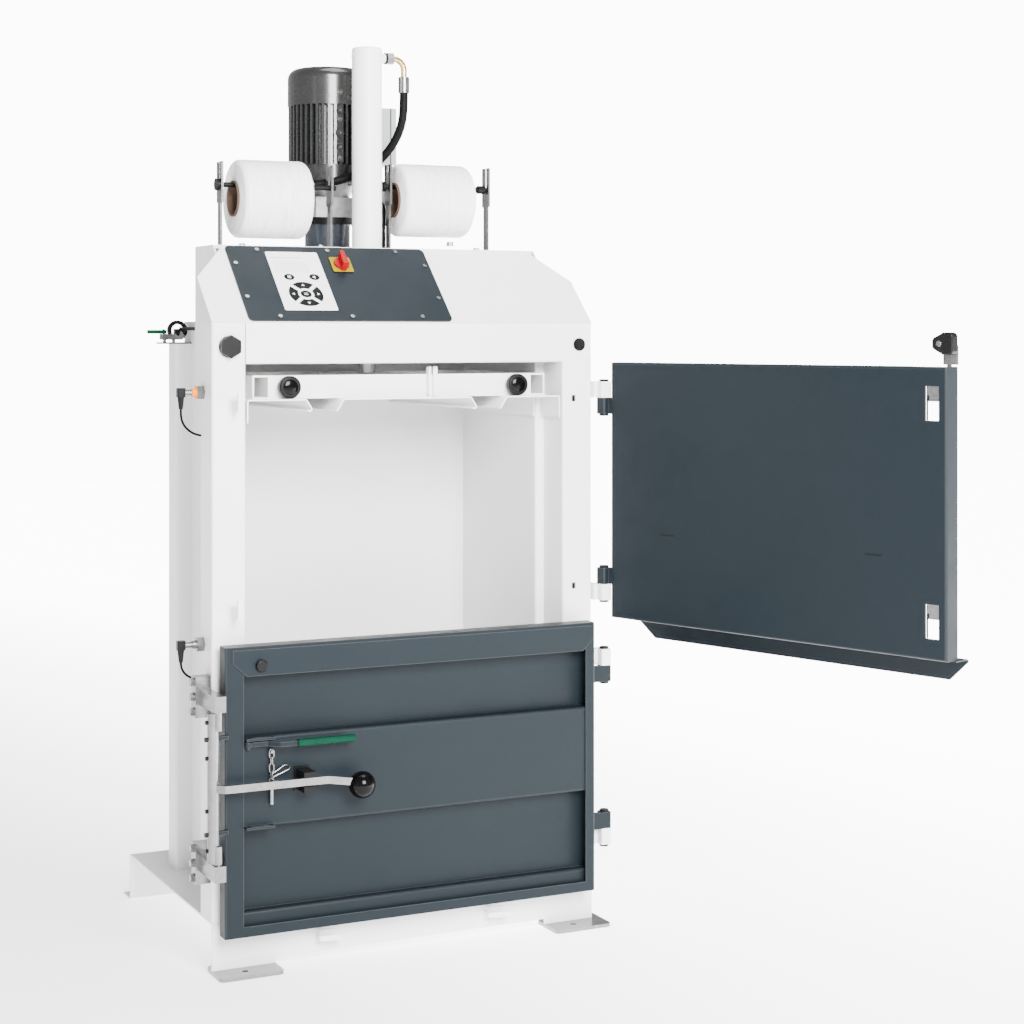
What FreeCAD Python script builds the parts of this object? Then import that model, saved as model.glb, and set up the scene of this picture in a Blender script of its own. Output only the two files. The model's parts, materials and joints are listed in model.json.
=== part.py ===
"""A vertical recycling baler: a chamber with two doors, a press plate on a hydraulic cylinder,
a control hood, a motor-driven power pack and two reels of strapping.

Millimetres. The row's origin is the centre of the four floor-anchor holes, +X to the machine's
right as seen from the front, +Y to the rear, +Z up. While modelling, y = 0 is the front face of the
frame, and save() moves everything to the row's frame.
"""
import FreeCAD, Part
import math
import os

V = FreeCAD.Vector

# ---- driving dimensions ----
SHEET = 4.0                 # frame plate
THIN = 3.0                  # door, hood and platen sheet
BEND = 3.0                  # inside bend radius
FIT = 0.05                  # radial running clearance of pins in bores
GAP = 0.3                   # clearance between moving surfaces

FRAME_W = 930.0             # across the posts
BASE_D = 656.0              # front apron to rear flange
BASE_H = 112.0              # top of the base plate
REAR_LIP = 58.0             # floor lip behind the rear flange
FOOT_T = 8.0                # front foot plate
FOOT_L = 145.0              # front foot plate, along X
FOOT_OUT = 62.0             # how far the front feet stand forward
FOOT_SHIFT = 20.0           # the right foot is set out by this much
APRON_LIFT = 20.0           # the apron's lower edge between the feet
ANCHOR_R = 7.0
ANCHOR_X = FRAME_W / 2 - 65  # anchor holes, either side of the middle
ANCHOR_FRONT = -30.0        # front anchor holes
ANCHOR_REAR = 690.0         # rear anchor holes

POST_W = 77.0               # front face of a post
OPEN_HALF = FRAME_W / 2 - POST_W     # half the loading opening
HEADER_Z = 1318.0           # underside of the header
POST_TOP = 1409.0
POST_SIDE = 80.0            # depth of a post's outer return
POST_IN = 103.0             # depth of a post's inner return
WALL_HALF = OPEN_HALF - 22  # half the chamber's inner width
PILLAR_HALF = WALL_HALF + 44         # outer face of the rear pillars
PILLAR_Y = 452.0            # front face of the rear pillars
BACK_Y = 515.0              # outer face of the back wall
WALL_TOP = 1409.0
PILLAR_TOP = 1360.0
TOWER_HALF = 215.0          # the raised middle of the back wall

HOOD_TOP = 1585.0
HOOD_Y = 185.0              # where the slope meets the top
HOOD_TOP_HALF = FRAME_W / 2 - 85     # half the slope's width at the top
HOOD_CORNER = 146.0         # slope length at which the corners turn in
HOOD_BOX_HALF = OPEN_HALF + 16       # outer face of the hood's side plates
ROOF_T = 8.0

PANEL = (-380.0, 107.0, 3.0, 250.0)    # control panel: x from, x to, slope from, slope to
PANEL_T = 3.0
KEYPAD = (-289.0, -164.0, 36.0, 230.0)
KEYPAD_T = 1.2
SWITCH = (-115.0, 188.0)               # main switch centre on the slope
SWITCH_PLATE = 50.0
SWITCH_PLATE_T = 3.0
SCREW_R = 5.0
SCREW_PITCH = 170.0
SCREW_MIDDLE = -136.0

HINGE_X = FRAME_W / 2 + 23  # both doors turn about one vertical line
HINGE_Y = -18.0
KNUCKLE = 26.0              # square knuckle
KNUCKLE_H = 38.0
PIN_R = 8.0
CAP_R = 11.0
CAP_H = 5.0
UPPER_HINGES = (1196.0, 758.0)         # underside of each pair of knuckles
LOWER_HINGES = (567.0, 184.0)

DOOR_IN = -20.0             # inner face of both doors when closed
DOOR_T = 40.0
UPPER_Z = (718.0, 1317.0)
UPPER_X = (8 - FRAME_W / 2, FRAME_W / 2 + 3)
UPPER_OPEN = 108.4          # how far the upper door stands open
SLOT_X = (-OPEN_HALF - 50, -OPEN_HALF - 18)   # latch slots in the upper door
SLOT_H = 70.0
SLOT_Z = (1242.0, 797.0)    # middles of the latch slots
LIP_OUT = 34.0
LIP_DOWN = 49.0
LIP_START = 20.0
LIP_END = -4.0

LOWER_Z = (90.0, 713.0)
LOWER_X = (10 - FRAME_W / 2, FRAME_W / 2 - 24)
BORDER_L = 42.0
BORDER_R = 24.0
BORDER_TOP = 61.0
BORDER_BOTTOM = 22.0
BAND_Z = (322.0, 517.0)
BAND_FRONT = -56.0
LEDGE_Z = 140.0

LATCH_X = -FRAME_W / 2 - 12.5        # axis of the latch pins
LATCH_Y = -82.0
LATCH_PIN_R = 9.0
LATCH_TUBE_R = 13.0
LATCH_OFFSET = (-8.0, 9.0)  # tube's middle from the pins' axis
ARM_W = 25.0                # bracket arm
ARM_H = 34.0
ARM_Z = (600.0, 241.0)
ARM_END = -98.0
BLOCK = (34.0, 30.0, 88.0)  # bracket block: x, y, z
BLOCK_Y = 8.0
LEVER_Z = 420.0
LEVER_Y = -100.0
LEVER_T = 8.0
LEVER_H = 16.0
BALL = (LATCH_X + 317.5, -108.0, 403.0)
BALL_R = 29.5
CAM_Z = (524.0, 322.0)
CAM_T = 8.0

SHELF_X = (LOWER_X[0] + 44, LOWER_X[0] + 108)   # slotted shelves at the centre band's ends
SHELF_Y = -74.0
SHELF_T = 5.0
GRIP_PIVOT = (SHELF_X[0] + 6, -65.0)
GRIP_PIN_R = 4.0
GRIP_Z = 503.0
GRIP_H = 10.0
GRIP_T = 6.0

CYL_Y = 261.0
CYL_R = 35.5
CYL_BORE = 31.0
CYL_FLANGE_R = CYL_R + 8
WEB_OFF = CYL_FLANGE_R + 5.5         # crosshead webs from the cylinder's axis
CYL_Z = (1322.0, 2040.0)
CYL_CAP_TOP = 2062.0
ROD_R = 20.0
PISTON_H = 40.0
PORT_Z = 2040.0
PORT_X = 50.0               # outer end of the port

PLATE_HALF = OPEN_HALF - 4  # front lip of the press plate
PLATE_REAR_HALF = WALL_HALF - 4      # the press plate behind the posts
PLATE_Z = 1240.0            # top of the press plate
PLATE_LEG = 51.0
PLATE_Y = (5.0, 505.0)
BEAM_Z = 52.0               # height of the beams on the press plate
BEAM_HALF = PLATE_REAR_HALF - 42
BEAM_Y = 40.0
BEAM_D = 50.0
BUMPER_X = BEAM_HALF - 40
BUMPER_R = 25.0

REEL_Y = 300.0
REEL_Z = (1698.0, 1706.0)   # left and right
REEL_R = (91.5, 88.0)
CORE_R = 42.0
CORE_BORE = 38.0
LEFT_REEL = (-317.0, -148.0)
RIGHT_REEL = (85.0, 268.0)
ROD_REEL_R = 6.0
STANDS = (-350.0, -79.0, 71.0, 331.0)
STAND_T = 5.0
STAND_UP = 53.3             # fork above the reel's rod

MOTOR = (-28.0, 450.0)
MOTOR_R = 95.0
MOTOR_Z = (1750.0, 1793.0, 1938.0, 2030.0)   # shield, fins, fan cover, top
PUMP_Z = (1667.0, 1716.0)
HOSE_R = 10.0
HOSE_X = 95.0
HOSE_TOP = 1960.0
HOSE_END = (-104.0, 346.0, 1739.0)
HOSE_ROUTE = [
    (HOSE_X, CYL_Y, HOSE_TOP), (HOSE_X, CYL_Y, 1920), (91, 267, 1880), (79, 281, 1842),
    (58, 299, 1808), (29, 317, 1781), (-7, 331, 1762), (-50, 340, 1749), HOSE_END,
]
RETURN_R = 6.0              # the line from the pump down through the roof
RETURN_X = 71.0
RETURN_Y = 333.0

SENSOR_Y = 64.0
SENSOR_Z = (1256.0, 706.0)
SENSOR_R = 9.0
CABLE_R = 2.6
PLUG_OUT = 50.0             # plug's tail from the post
CABLE_STEPS = (             # upper and lower, from each sensor's seat on the post
    [(-PLUG_OUT, 0, -36), (-PLUG_OUT, 0, -49), (-47.5, 0.5, -62), (-41, 2, -73.5), (-31, 4.5, -83),
     (-19, 8, -90), (-7.5, 11, -93.5), (-1, 12.7, -94.8)],
    [(-PLUG_OUT, 0, -36), (-49.5, 0, -45), (-46, 0.5, -55), (-39, 1.5, -64), (-29, 3.5, -71),
     (-17.5, 6, -75), (-7, 8.5, -76.5), (-1, 10, -76.8)],
)
CLAMP = (-PILLAR_HALF - 8, 484.0)

SLOPE = math.degrees(math.atan2(HOOD_TOP - POST_TOP, HOOD_Y))
SLOPE_L = math.hypot(HOOD_TOP - POST_TOP, HOOD_Y)
HALF = FRAME_W / 2
HOOD_BOX_Y = CYL_Y + WEB_OFF + ROOF_T       # rear edge of the hood's side plates
FACE_TOP = POST_TOP - THIN * math.cos(math.radians(SLOPE))   # posts and header end under the slope
ROW_Y = -(ANCHOR_FRONT + ANCHOR_REAR) / 2
ROD_Z = [z + CORE_BORE - GAP - ROD_REEL_R for z in REEL_Z]
TUBE_X = LATCH_X + LATCH_OFFSET[0]
TUBE_Y = LATCH_Y + LATCH_OFFSET[1]
DOOR_OUT = DOOR_IN - DOOR_T


# ---- helpers ----
def box(x0, x1, y0, y1, z0, z1):
    return Part.makeBox(x1 - x0, y1 - y0, z1 - z0, V(x0, y0, z0))


def rod(r, start, end):
    a, b = V(*start), V(*end)
    return Part.makeCylinder(r, (b - a).Length, a, b - a)


def tube(r, bore, start, end):
    return rod(r, start, end).cut(rod(bore, start, end))


def fuse(first, *others):
    return first.fuse(list(others)).removeSplitter() if others else first


def cut(first, *tools):
    return first.cut(list(tools))


def to_plane(points, plane, at):
    """Places flat (a, b) points in the xy, xz or yz plane, at that distance along the third axis."""
    place = {
        "xy": lambda a, b: V(a, b, at),
        "xz": lambda a, b: V(a, at, b),
        "yz": lambda a, b: V(at, a, b),
    }[plane]
    return [place(a, b) for a, b in points]


def along(plane, length):
    return {"xy": V(0, 0, length), "xz": V(0, length, 0), "yz": V(length, 0, 0)}[plane]


def plate(points, plane, at, thick):
    """A flat plate with straight edges."""
    corners = to_plane(points, plane, at)
    return Part.Face(Part.makePolygon(corners + corners[:1])).extrude(along(plane, thick))


def rounded(points, radius, plane, at, thick):
    """A flat plate whose corners are all rounded by one radius."""
    edges, ends = [], []
    n = len(points)
    for i, p in enumerate(points):
        before, after = points[i - 1], points[(i + 1) % n]
        u = V(before[0] - p[0], before[1] - p[1], 0).normalize()
        w = V(after[0] - p[0], after[1] - p[1], 0).normalize()
        half = u.getAngle(w) / 2
        back = radius / math.tan(half)
        middle = V(*p, 0) + (u + w).normalize() * (radius / math.sin(half) - radius)
        arc = [V(*p, 0) + u * back, middle, V(*p, 0) + w * back]
        ends.append(to_plane([(q.x, q.y) for q in arc], plane, at))
    for i, (start, middle, end) in enumerate(ends):
        edges.append(Part.Arc(start, middle, end).toShape())
        edges.append(Part.LineSegment(end, ends[(i + 1) % n][0]).toShape())
    return Part.Face(Part.Wire(edges)).extrude(along(plane, thick))


def folded(points, thick, plane, at, length, inside=BEND):
    """A sheet folded along a profile: thick lies to the left of the points' direction."""
    p = [V(a, b, 0) for a, b in points]
    step = [(b - a).normalize() for a, b in zip(p, p[1:])]
    left = [V(-d.y, d.x, 0) for d in step]

    def side(offset, outer_turn):
        runs = [[p[0] + left[0] * offset]]
        for i in range(1, len(p) - 1):
            turn = step[i - 1].x * step[i].y - step[i - 1].y * step[i].x
            angle = step[i - 1].getAngle(step[i])
            corner = p[i] + (left[i - 1] + left[i]) * (offset / (1 + left[i - 1].dot(left[i])))
            radius = inside + (abs(thick) if turn * outer_turn * thick > 0 else 0)
            back = radius * math.tan(angle / 2)
            inward = (step[i] - step[i - 1]).normalize()
            middle = corner + inward * (radius / math.cos(angle / 2) - radius)
            runs[-1].append(corner - step[i - 1] * back)
            runs.append([corner - step[i - 1] * back, middle, corner + step[i] * back])
            runs.append([corner + step[i] * back])
        runs[-1].append(p[-1] + left[-1] * offset)
        return runs

    near, far = side(0, 1), side(thick, -1)
    back_far = [run[::-1] for run in far[::-1]]
    loop = near + [[near[-1][-1], far[-1][-1]]] + back_far + [[far[0][0], near[0][0]]]
    edges = []
    for run in loop:
        q = to_plane([(v.x, v.y) for v in run], plane, at)
        edges.append((Part.Arc(*q) if len(q) == 3 else Part.LineSegment(*q)).toShape())
    return Part.Face(Part.Wire(edges)).extrude(along(plane, length))


def hexagon(across, start, end):
    """A hexagonal prism along X between two points."""
    r = across / math.sqrt(3)
    ring = [
        (start[1] + r * math.cos(math.radians(60 * i)), start[2] + r * math.sin(math.radians(60 * i)))
        for i in range(6)
    ]
    return plate(ring, "yz", start[0], end[0] - start[0])


def soften(solid, radius, choose):
    edges = [e for e in solid.Edges if choose(e)]
    return solid.makeFillet(radius, edges)


def upright(edge):
    a, b = edge.Vertexes[0].Point, edge.Vertexes[-1].Point
    return abs(a.x - b.x) + abs(a.y - b.y) < 1e-6 and abs(a.z - b.z) > 1e-6


def on_slope(shape):
    """Takes a shape drawn on x and slope length, with z out of the hood, onto the slope."""
    shape = shape.copy()
    shape.rotate(V(0, 0, 0), V(1, 0, 0), SLOPE)
    shape.translate(V(0, 0, POST_TOP))
    return shape


def opened(shape):
    """Takes a piece of the closed upper door to where the door stands open."""
    shape = shape.copy()
    shape.rotate(V(HINGE_X, HINGE_Y, 0), V(0, 0, 1), UPPER_OPEN)
    return shape


def mirror(shape):
    return shape.mirror(V(0, 0, 0), V(1, 0, 0))


def route(points, radius, label):
    """A round tube along straight runs joined by tangent arcs."""
    p = [V(*q) for q in points]
    edges, at, radii = [], p[0], []
    for i in range(1, len(p) - 1):
        u, w = (p[i] - p[i - 1]), (p[i + 1] - p[i])
        turn = u.getAngle(w)
        shorter = min(u.Length, w.Length)
        u.normalize()
        w.normalize()
        bend = 0.45 * shorter / math.tan(turn / 2)
        radii.append(round(bend))
        back = 0.45 * shorter
        start, end = p[i] - u * back, p[i] + w * back
        middle = p[i] + (w - u).normalize() * (bend / math.cos(turn / 2) - bend)
        edges.append(Part.LineSegment(at, start).toShape())
        edges.append(Part.Arc(start, middle, end).toShape())
        at = end
    edges.append(Part.LineSegment(at, p[-1]).toShape())
    path = Part.Wire(edges)
    circle = Part.Wire(Part.makeCircle(radius, p[0], p[1] - p[0]))
    solid = path.makePipeShell([circle], True, True)
    print(label, "radii", radii, "volume ratio",
          round(solid.Volume / (math.pi * radius**2 * path.Length), 4))
    return solid


def save(node, *shapes):
    shape = Part.makeCompound(list(shapes)) if len(shapes) > 1 else shapes[0].copy()
    shape.translate(V(0, ROW_Y, 0))
    shape.exportStep(f"parts/{node}.step")


# ---- base ----
def base():
    profile = [
        (BASE_D + REAR_LIP, SHEET), (BASE_D, SHEET), (BASE_D, BASE_H), (0, BASE_H), (0, FOOT_T),
    ]
    sheet = folded(profile, SHEET, "yz", -HALF, FRAME_W)
    foot_inner = HALF - FOOT_L
    relief = box(-foot_inner, foot_inner + FOOT_SHIFT, -1, SHEET + 1, 0, APRON_LIFT)
    holes = [
        rod(ANCHOR_R, (x, ANCHOR_REAR, -1), (x, ANCHOR_REAR, BASE_H / 2))
        for x in (-ANCHOR_X, ANCHOR_X)
    ]
    save("base_frame", cut(sheet, relief, *holes))

    feet = []
    for outer, hole in ((-HALF, -ANCHOR_X), (HALF + FOOT_SHIFT - FOOT_L, ANCHOR_X)):
        foot = box(outer, outer + FOOT_L, -FOOT_OUT, FOOT_OUT - APRON_LIFT, 0, FOOT_T)
        foot = soften(foot, FOOT_L / 12, upright)
        feet.append(cut(foot, rod(ANCHOR_R, (hole, ANCHOR_FRONT, -1), (hole, ANCHOR_FRONT, FOOT_T + 1))))
    save("front_feet", *feet)

    hooks = []
    for x in (-206.0, 205.0):
        hook = folded([(x - 22, 0), (x - 22, -26), (x + 30, -34)], THIN, "xy", 48, 12)
        tongue = folded([(x - 22, -3), (x - 16, -14), (x + 18, -20)], THIN, "xy", 60, 10)
        hooks.append(fuse(hook, tongue))
    save("strap_hooks", *hooks)


# ---- frame ----
def post():
    """The left post: a channel whose inner return is the deeper one."""
    profile = [(-HALF, POST_SIDE), (-HALF, 0), (-OPEN_HALF, 0), (-OPEN_HALF, POST_IN - SHEET)]
    return folded(profile, SHEET, "xy", BASE_H, FACE_TOP - BASE_H)


def frame():
    slot = [box(OPEN_HALF + 24, OPEN_HALF + 34, -1, SHEET + 1, z - 7.5, z + 7.5) for z in (1233, 793)]
    save("left_post", post())
    save("right_post", cut(mirror(post()), *slot))

    header = folded(
        [(POST_SIDE / 2, HEADER_Z), (0, HEADER_Z), (0, FACE_TOP)],
        -SHEET, "yz", -OPEN_HALF, 2 * OPEN_HALF,
    )
    save("header_panel", header)

    wall = folded(
        [(-OPEN_HALF - SHEET, POST_IN), (-WALL_HALF - SHEET, POST_IN), (-WALL_HALF - SHEET, BACK_Y - SHEET)],
        -SHEET, "xy", BASE_H, WALL_TOP - BASE_H,
    )
    save("left_side_wall", wall)
    save("right_side_wall", mirror(wall))

    outline = [
        (-WALL_HALF - SHEET, PILLAR_Y), (-PILLAR_HALF, PILLAR_Y), (-PILLAR_HALF, BACK_Y),
        (PILLAR_HALF, BACK_Y), (PILLAR_HALF, PILLAR_Y), (WALL_HALF + SHEET, PILLAR_Y),
    ]
    back = folded(outline, -SHEET, "xy", BASE_H, PILLAR_TOP - BASE_H)
    outer = WALL_HALF + SHEET
    raised = box(-outer, outer, BACK_Y - SHEET, BACK_Y, PILLAR_TOP, WALL_TOP)
    tower = box(-TOWER_HALF, TOWER_HALF, BACK_Y - SHEET, BACK_Y, WALL_TOP, HOOD_TOP - ROOF_T)
    save("back_wall", fuse(back, raised, tower))


def hood():
    slope = [
        (-HALF, 0), (HALF, 0), (HALF, HOOD_CORNER), (HOOD_TOP_HALF, SLOPE_L),
        (-HOOD_TOP_HALF, SLOPE_L), (-HALF, HOOD_CORNER),
    ]
    cover = on_slope(plate(slope, "xy", -THIN, THIN))
    cheeks = []
    edge = THIN / math.sin(math.radians(SLOPE))
    for x in (-HOOD_BOX_HALF, HOOD_BOX_HALF - THIN):
        cheek = [
            (SHEET, HEADER_Z + SHEET), (HOOD_BOX_Y, HEADER_Z + SHEET), (HOOD_BOX_Y, HOOD_TOP),
            (HOOD_Y + edge / 2, HOOD_TOP), (SHEET, POST_TOP),
        ]
        cheeks.append(plate(cheek, "yz", x, THIN))
    save("hood", fuse(cover, *cheeks))

    inner = HOOD_BOX_HALF - THIN
    roof = [
        (-inner, HOOD_Y + edge), (inner, HOOD_Y + edge), (inner, HOOD_BOX_Y), (TOWER_HALF, HOOD_BOX_Y),
        (TOWER_HALF, BACK_Y), (-TOWER_HALF, BACK_Y), (-TOWER_HALF, HOOD_BOX_Y), (-inner, HOOD_BOX_Y),
    ]
    top = plate(roof, "xy", HOOD_TOP - ROOF_T, ROOF_T)
    rear_web = HOOD_BOX_Y - ROOF_T
    webs = [
        box(-inner, inner, y, y + ROOF_T, WALL_TOP, HOOD_TOP - ROOF_T)
        for y in (CYL_Y - WEB_OFF - ROOF_T, rear_web)
    ]
    outer = WALL_HALF + SHEET
    cover = box(-outer, outer, rear_web, BACK_Y, WALL_TOP, WALL_TOP + SHEET)
    cover = cover.cut(box(-TOWER_HALF, TOWER_HALF, BACK_Y - SHEET, BACK_Y, WALL_TOP, HOOD_TOP))
    bore = rod(CYL_R + GAP, (0, CYL_Y, WALL_TOP), (0, CYL_Y, HOOD_TOP + 1))
    save("crosshead", cut(fuse(top, cover, *webs), bore))


def controls():
    x0, x1, s0, s1 = PANEL
    corners = [(x0, s0), (x1, s0), (x1, s1), (x0, s1)]
    save("control_panel", on_slope(rounded(corners, 12, "xy", 0, PANEL_T)))
    k0, k1, t0, t1 = KEYPAD
    foil = rounded([(k0, t0), (k1, t0), (k1, t1), (k0, t1)], 4, "xy", PANEL_T, KEYPAD_T)
    save("keypad", on_slope(foil))
    sx, ss = SWITCH
    h = SWITCH_PLATE / 2
    square = [(sx - h, ss - h), (sx + h, ss - h), (sx + h, ss + h), (sx - h, ss + h)]
    shield = rounded(square, 4, "xy", PANEL_T, SWITCH_PLATE_T)
    save("switch_plate", on_slope(shield))
    face = PANEL_T + SWITCH_PLATE_T + GAP
    disc = rod(18, (sx, ss, face), (sx, ss, face + 6))
    wing = rounded(
        [(sx - 7, ss - 22), (sx + 7, ss - 22), (sx + 5, ss + 22), (sx - 5, ss + 22)],
        4, "xy", face, 24,
    )
    save("switch_knob", on_slope(fuse(disc, wing)))
    screws = []
    inset = 13.0
    places = [(SCREW_MIDDLE + k * SCREW_PITCH, s) for k in (-1, 0, 1) for s in (s0 + inset, s1 - inset)]
    places += [(x, s) for x in (x0 + inset, x1 - inset) for s in (79.0, 190.0)]
    for x, s in places:
        head = rod(SCREW_R, (x, s, PANEL_T), (x, s, PANEL_T + 2.5))
        screws.append(on_slope(head))
    save("panel_screws", *screws)


def frame_fittings():
    cx, cz = 39 - HALF, 1356
    bolt = rod(24, (cx, 0, cz), (cx, -3, cz))
    ring = [
        (cx + 25.4 * math.cos(math.radians(60 * i + 30)), cz + 25.4 * math.sin(math.radians(60 * i + 30)))
        for i in range(6)
    ]
    corner_bolt = fuse(bolt, plate(ring, "xz", -3, -13))
    px, pz = HALF - 34, 1359
    corner_plug = fuse(rod(15, (px, 0, pz), (px, -3, pz)), rod(11, (px, 0, pz), (px, -6, pz)))

    strikers = []
    for z in SLOT_Z:
        hook = [
            (0, z - 26), (-46, z - 26), (-46, z + 14), (-38, z + 14), (-38, z - 4), (0, z - 4),
        ]
        strikers.append(plate(hook, "yz", -OPEN_HALF - 33, 11))
    save("door_strikers", *strikers)

    brackets, bolts = [], []
    bx, by, bz = BLOCK
    arm_x = (LATCH_X - ARM_W / 2, LATCH_X + ARM_W / 2)
    for z in ARM_Z:
        block = box(-HALF - bx, -HALF, BLOCK_Y, BLOCK_Y + by, z - bz / 2, z + bz / 2)
        arm = box(*arm_x, ARM_END, BLOCK_Y, z - ARM_H / 2, z + ARM_H / 2)
        bore = rod(LATCH_PIN_R + FIT, (LATCH_X, LATCH_Y, z - ARM_H), (LATCH_X, LATCH_Y, z + ARM_H))
        brackets.append(cut(fuse(block, arm), bore))
        for dz in (-32, 0, 32):
            y = BLOCK_Y + by / 2
            start = (-HALF - bx, y, z + dz)
            head = hexagon(15, start, (-HALF - bx - 8, y, z + dz))
            washer = rod(10, start, (-HALF - bx - 1.5, y, z + dz))
            bolts.append(fuse(washer, head))
    save("latch_brackets", *brackets)
    save("frame_bolts", corner_bolt, corner_plug, *bolts)


# ---- hinges ----
def knuckle(z):
    h = KNUCKLE / 2
    block = box(HINGE_X - h, HINGE_X + h, HINGE_Y - h, HINGE_Y + h, z, z + KNUCKLE_H)
    block = soften(block, 4, upright)
    return block


def pin_bore(z):
    return rod(PIN_R + FIT, (HINGE_X, HINGE_Y, z - 1), (HINGE_X, HINGE_Y, z + KNUCKLE_H + 1))


def frame_leaf(z):
    tab = box(HALF, HALF + 6, 2, 42, z, z + KNUCKLE_H)
    web = box(HALF, HINGE_X + 2, HINGE_Y + KNUCKLE / 2 - 6, 6, z, z + KNUCKLE_H)
    return cut(fuse(knuckle(z), tab, web), pin_bore(z))


def door_leaf(z, edge):
    web = box(edge, HINGE_X - KNUCKLE / 2 + 4, HINGE_Y - KNUCKLE / 2, HINGE_Y - 3, z, z + KNUCKLE_H)
    return cut(fuse(knuckle(z), web), pin_bore(z))


def hinges():
    up = KNUCKLE_H
    frame_z = (UPPER_HINGES[0] + up, UPPER_HINGES[1], LOWER_HINGES[0] + up, LOWER_HINGES[1])
    save("hinge_brackets", *[frame_leaf(z) for z in frame_z])
    pins = []
    for z in UPPER_HINGES + LOWER_HINGES:
        top = z + 2 * KNUCKLE_H
        shank = rod(PIN_R, (HINGE_X, HINGE_Y, z), (HINGE_X, HINGE_Y, top))
        caps = [
            rod(CAP_R, (HINGE_X, HINGE_Y, top), (HINGE_X, HINGE_Y, top + CAP_H)),
            rod(CAP_R, (HINGE_X, HINGE_Y, z - CAP_H), (HINGE_X, HINGE_Y, z)),
        ]
        pins.append(fuse(shank, *caps))
    save("hinge_pins", *pins)
    upper = (UPPER_HINGES[0], UPPER_HINGES[1] + up)
    save("upper_door_leaves", *[opened(door_leaf(z, UPPER_X[1])) for z in upper])
    lower = (LOWER_HINGES[0], LOWER_HINGES[1] + up)
    save("lower_door_leaves", *[door_leaf(z, LOWER_X[1]) for z in lower])


# ---- upper door ----
def upper_door():
    x0, x1 = UPPER_X
    z0, z1 = UPPER_Z
    outer = soften(box(x0, x1, DOOR_OUT, DOOR_IN, z0, z1), 5, lambda e: not e.BoundBox.YLength > 1 and
                   abs(e.BoundBox.YMin - DOOR_IN) < 1e-6)
    hollow = box(x0 + THIN, x1 - THIN, DOOR_OUT - 1, DOOR_IN - THIN, z0 + THIN, z1 - THIN)
    panel = cut(outer, hollow)
    slots = [box(*SLOT_X, DOOR_OUT, DOOR_IN + 1, z - SLOT_H / 2, z + SLOT_H / 2) for z in SLOT_Z]
    bar_x = (x0 + 12, x0 + 19)
    bar_y = (DOOR_OUT + 3, DOOR_OUT + 10)
    mouth = box(x0 + 8, x0 + 108, DOOR_OUT - 1, DOOR_IN - 8, z1 - 2 * THIN, z1 + 1)
    panel = cut(panel, *slots, mouth)
    guides = []
    for z in (z0 + 190, z1 - 190):
        guide = box(bar_x[0] - 4, bar_x[1] + 4, DOOR_OUT + 0.5, DOOR_IN - THIN, z, z + 24)
        way = box(bar_x[0] - GAP, bar_x[1] + GAP, bar_y[0] - GAP, bar_y[1] + GAP, z - 1, z + 25)
        guides.append(cut(guide, way))
    guard = box(x0 + 4, x0 + 40, DOOR_OUT - 4, DOOR_OUT, z1 - 150, z1 - 2)
    rail = box(x0 + THIN, x0 + 40, DOOR_OUT - 4, DOOR_OUT + 2, z1 - 150, z1 - 144)
    save("upper_door_panel", opened(fuse(panel, *guides, guard, rail)))

    lip = [
        (DOOR_OUT + 10, z0), (DOOR_OUT - LIP_OUT, z0), (DOOR_OUT - LIP_OUT - 8, z0 - LIP_DOWN),
    ]
    sheet = folded(lip, THIN, "yz", x0 + LIP_END, x1 - LIP_START - x0 - LIP_END)
    reach = LIP_DOWN + 4
    for x, way in ((x0 + LIP_END, 1), (x1 - LIP_START, -1)):
        corner = [(x - way, z0 - 6), (x + way * reach, z0 - reach), (x - way, z0 - reach)]
        sheet = cut(sheet, plate(corner, "xz", DOOR_OUT - 2 * LIP_OUT, 2 * LIP_OUT))
    save("upper_door_lip", opened(sheet))

    bar = box(*bar_x, *bar_y, z0 + 30, z1 + 36)
    catches = []
    for z in SLOT_Z:
        tooth_end = DOOR_IN - THIN - 3.5
        tooth = [
            (bar_y[0], z + 20), (-36, z + 20), (-36, z + 4), (tooth_end, z + 4), (tooth_end, z + 32),
            (bar_y[0], z + 32),
        ]
        catches.append(plate(tooth, "yz", bar_x[0], SLOT_X[1] - 1 - bar_x[0]))
    flag = box(x0 - 4, x0 + 28, *bar_y, z1 + 4, z1 + 44)
    save("latch_bar", opened(fuse(bar, *catches, flag)))
    kx, kz = x0 - 8, z1 + 47
    knob = rounded(
        [(kx, kz - 23), (kx + 24, kz - 23), (kx + 50, kz - 10), (kx + 50, kz + 10), (kx + 24, kz + 23),
         (kx, kz + 23)], 9, "xz",
        bar_y[1], 22,
    )
    save("latch_bar_knob", opened(soften(knob, 4, lambda e: e.BoundBox.YLength < 1e-6)))


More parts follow.
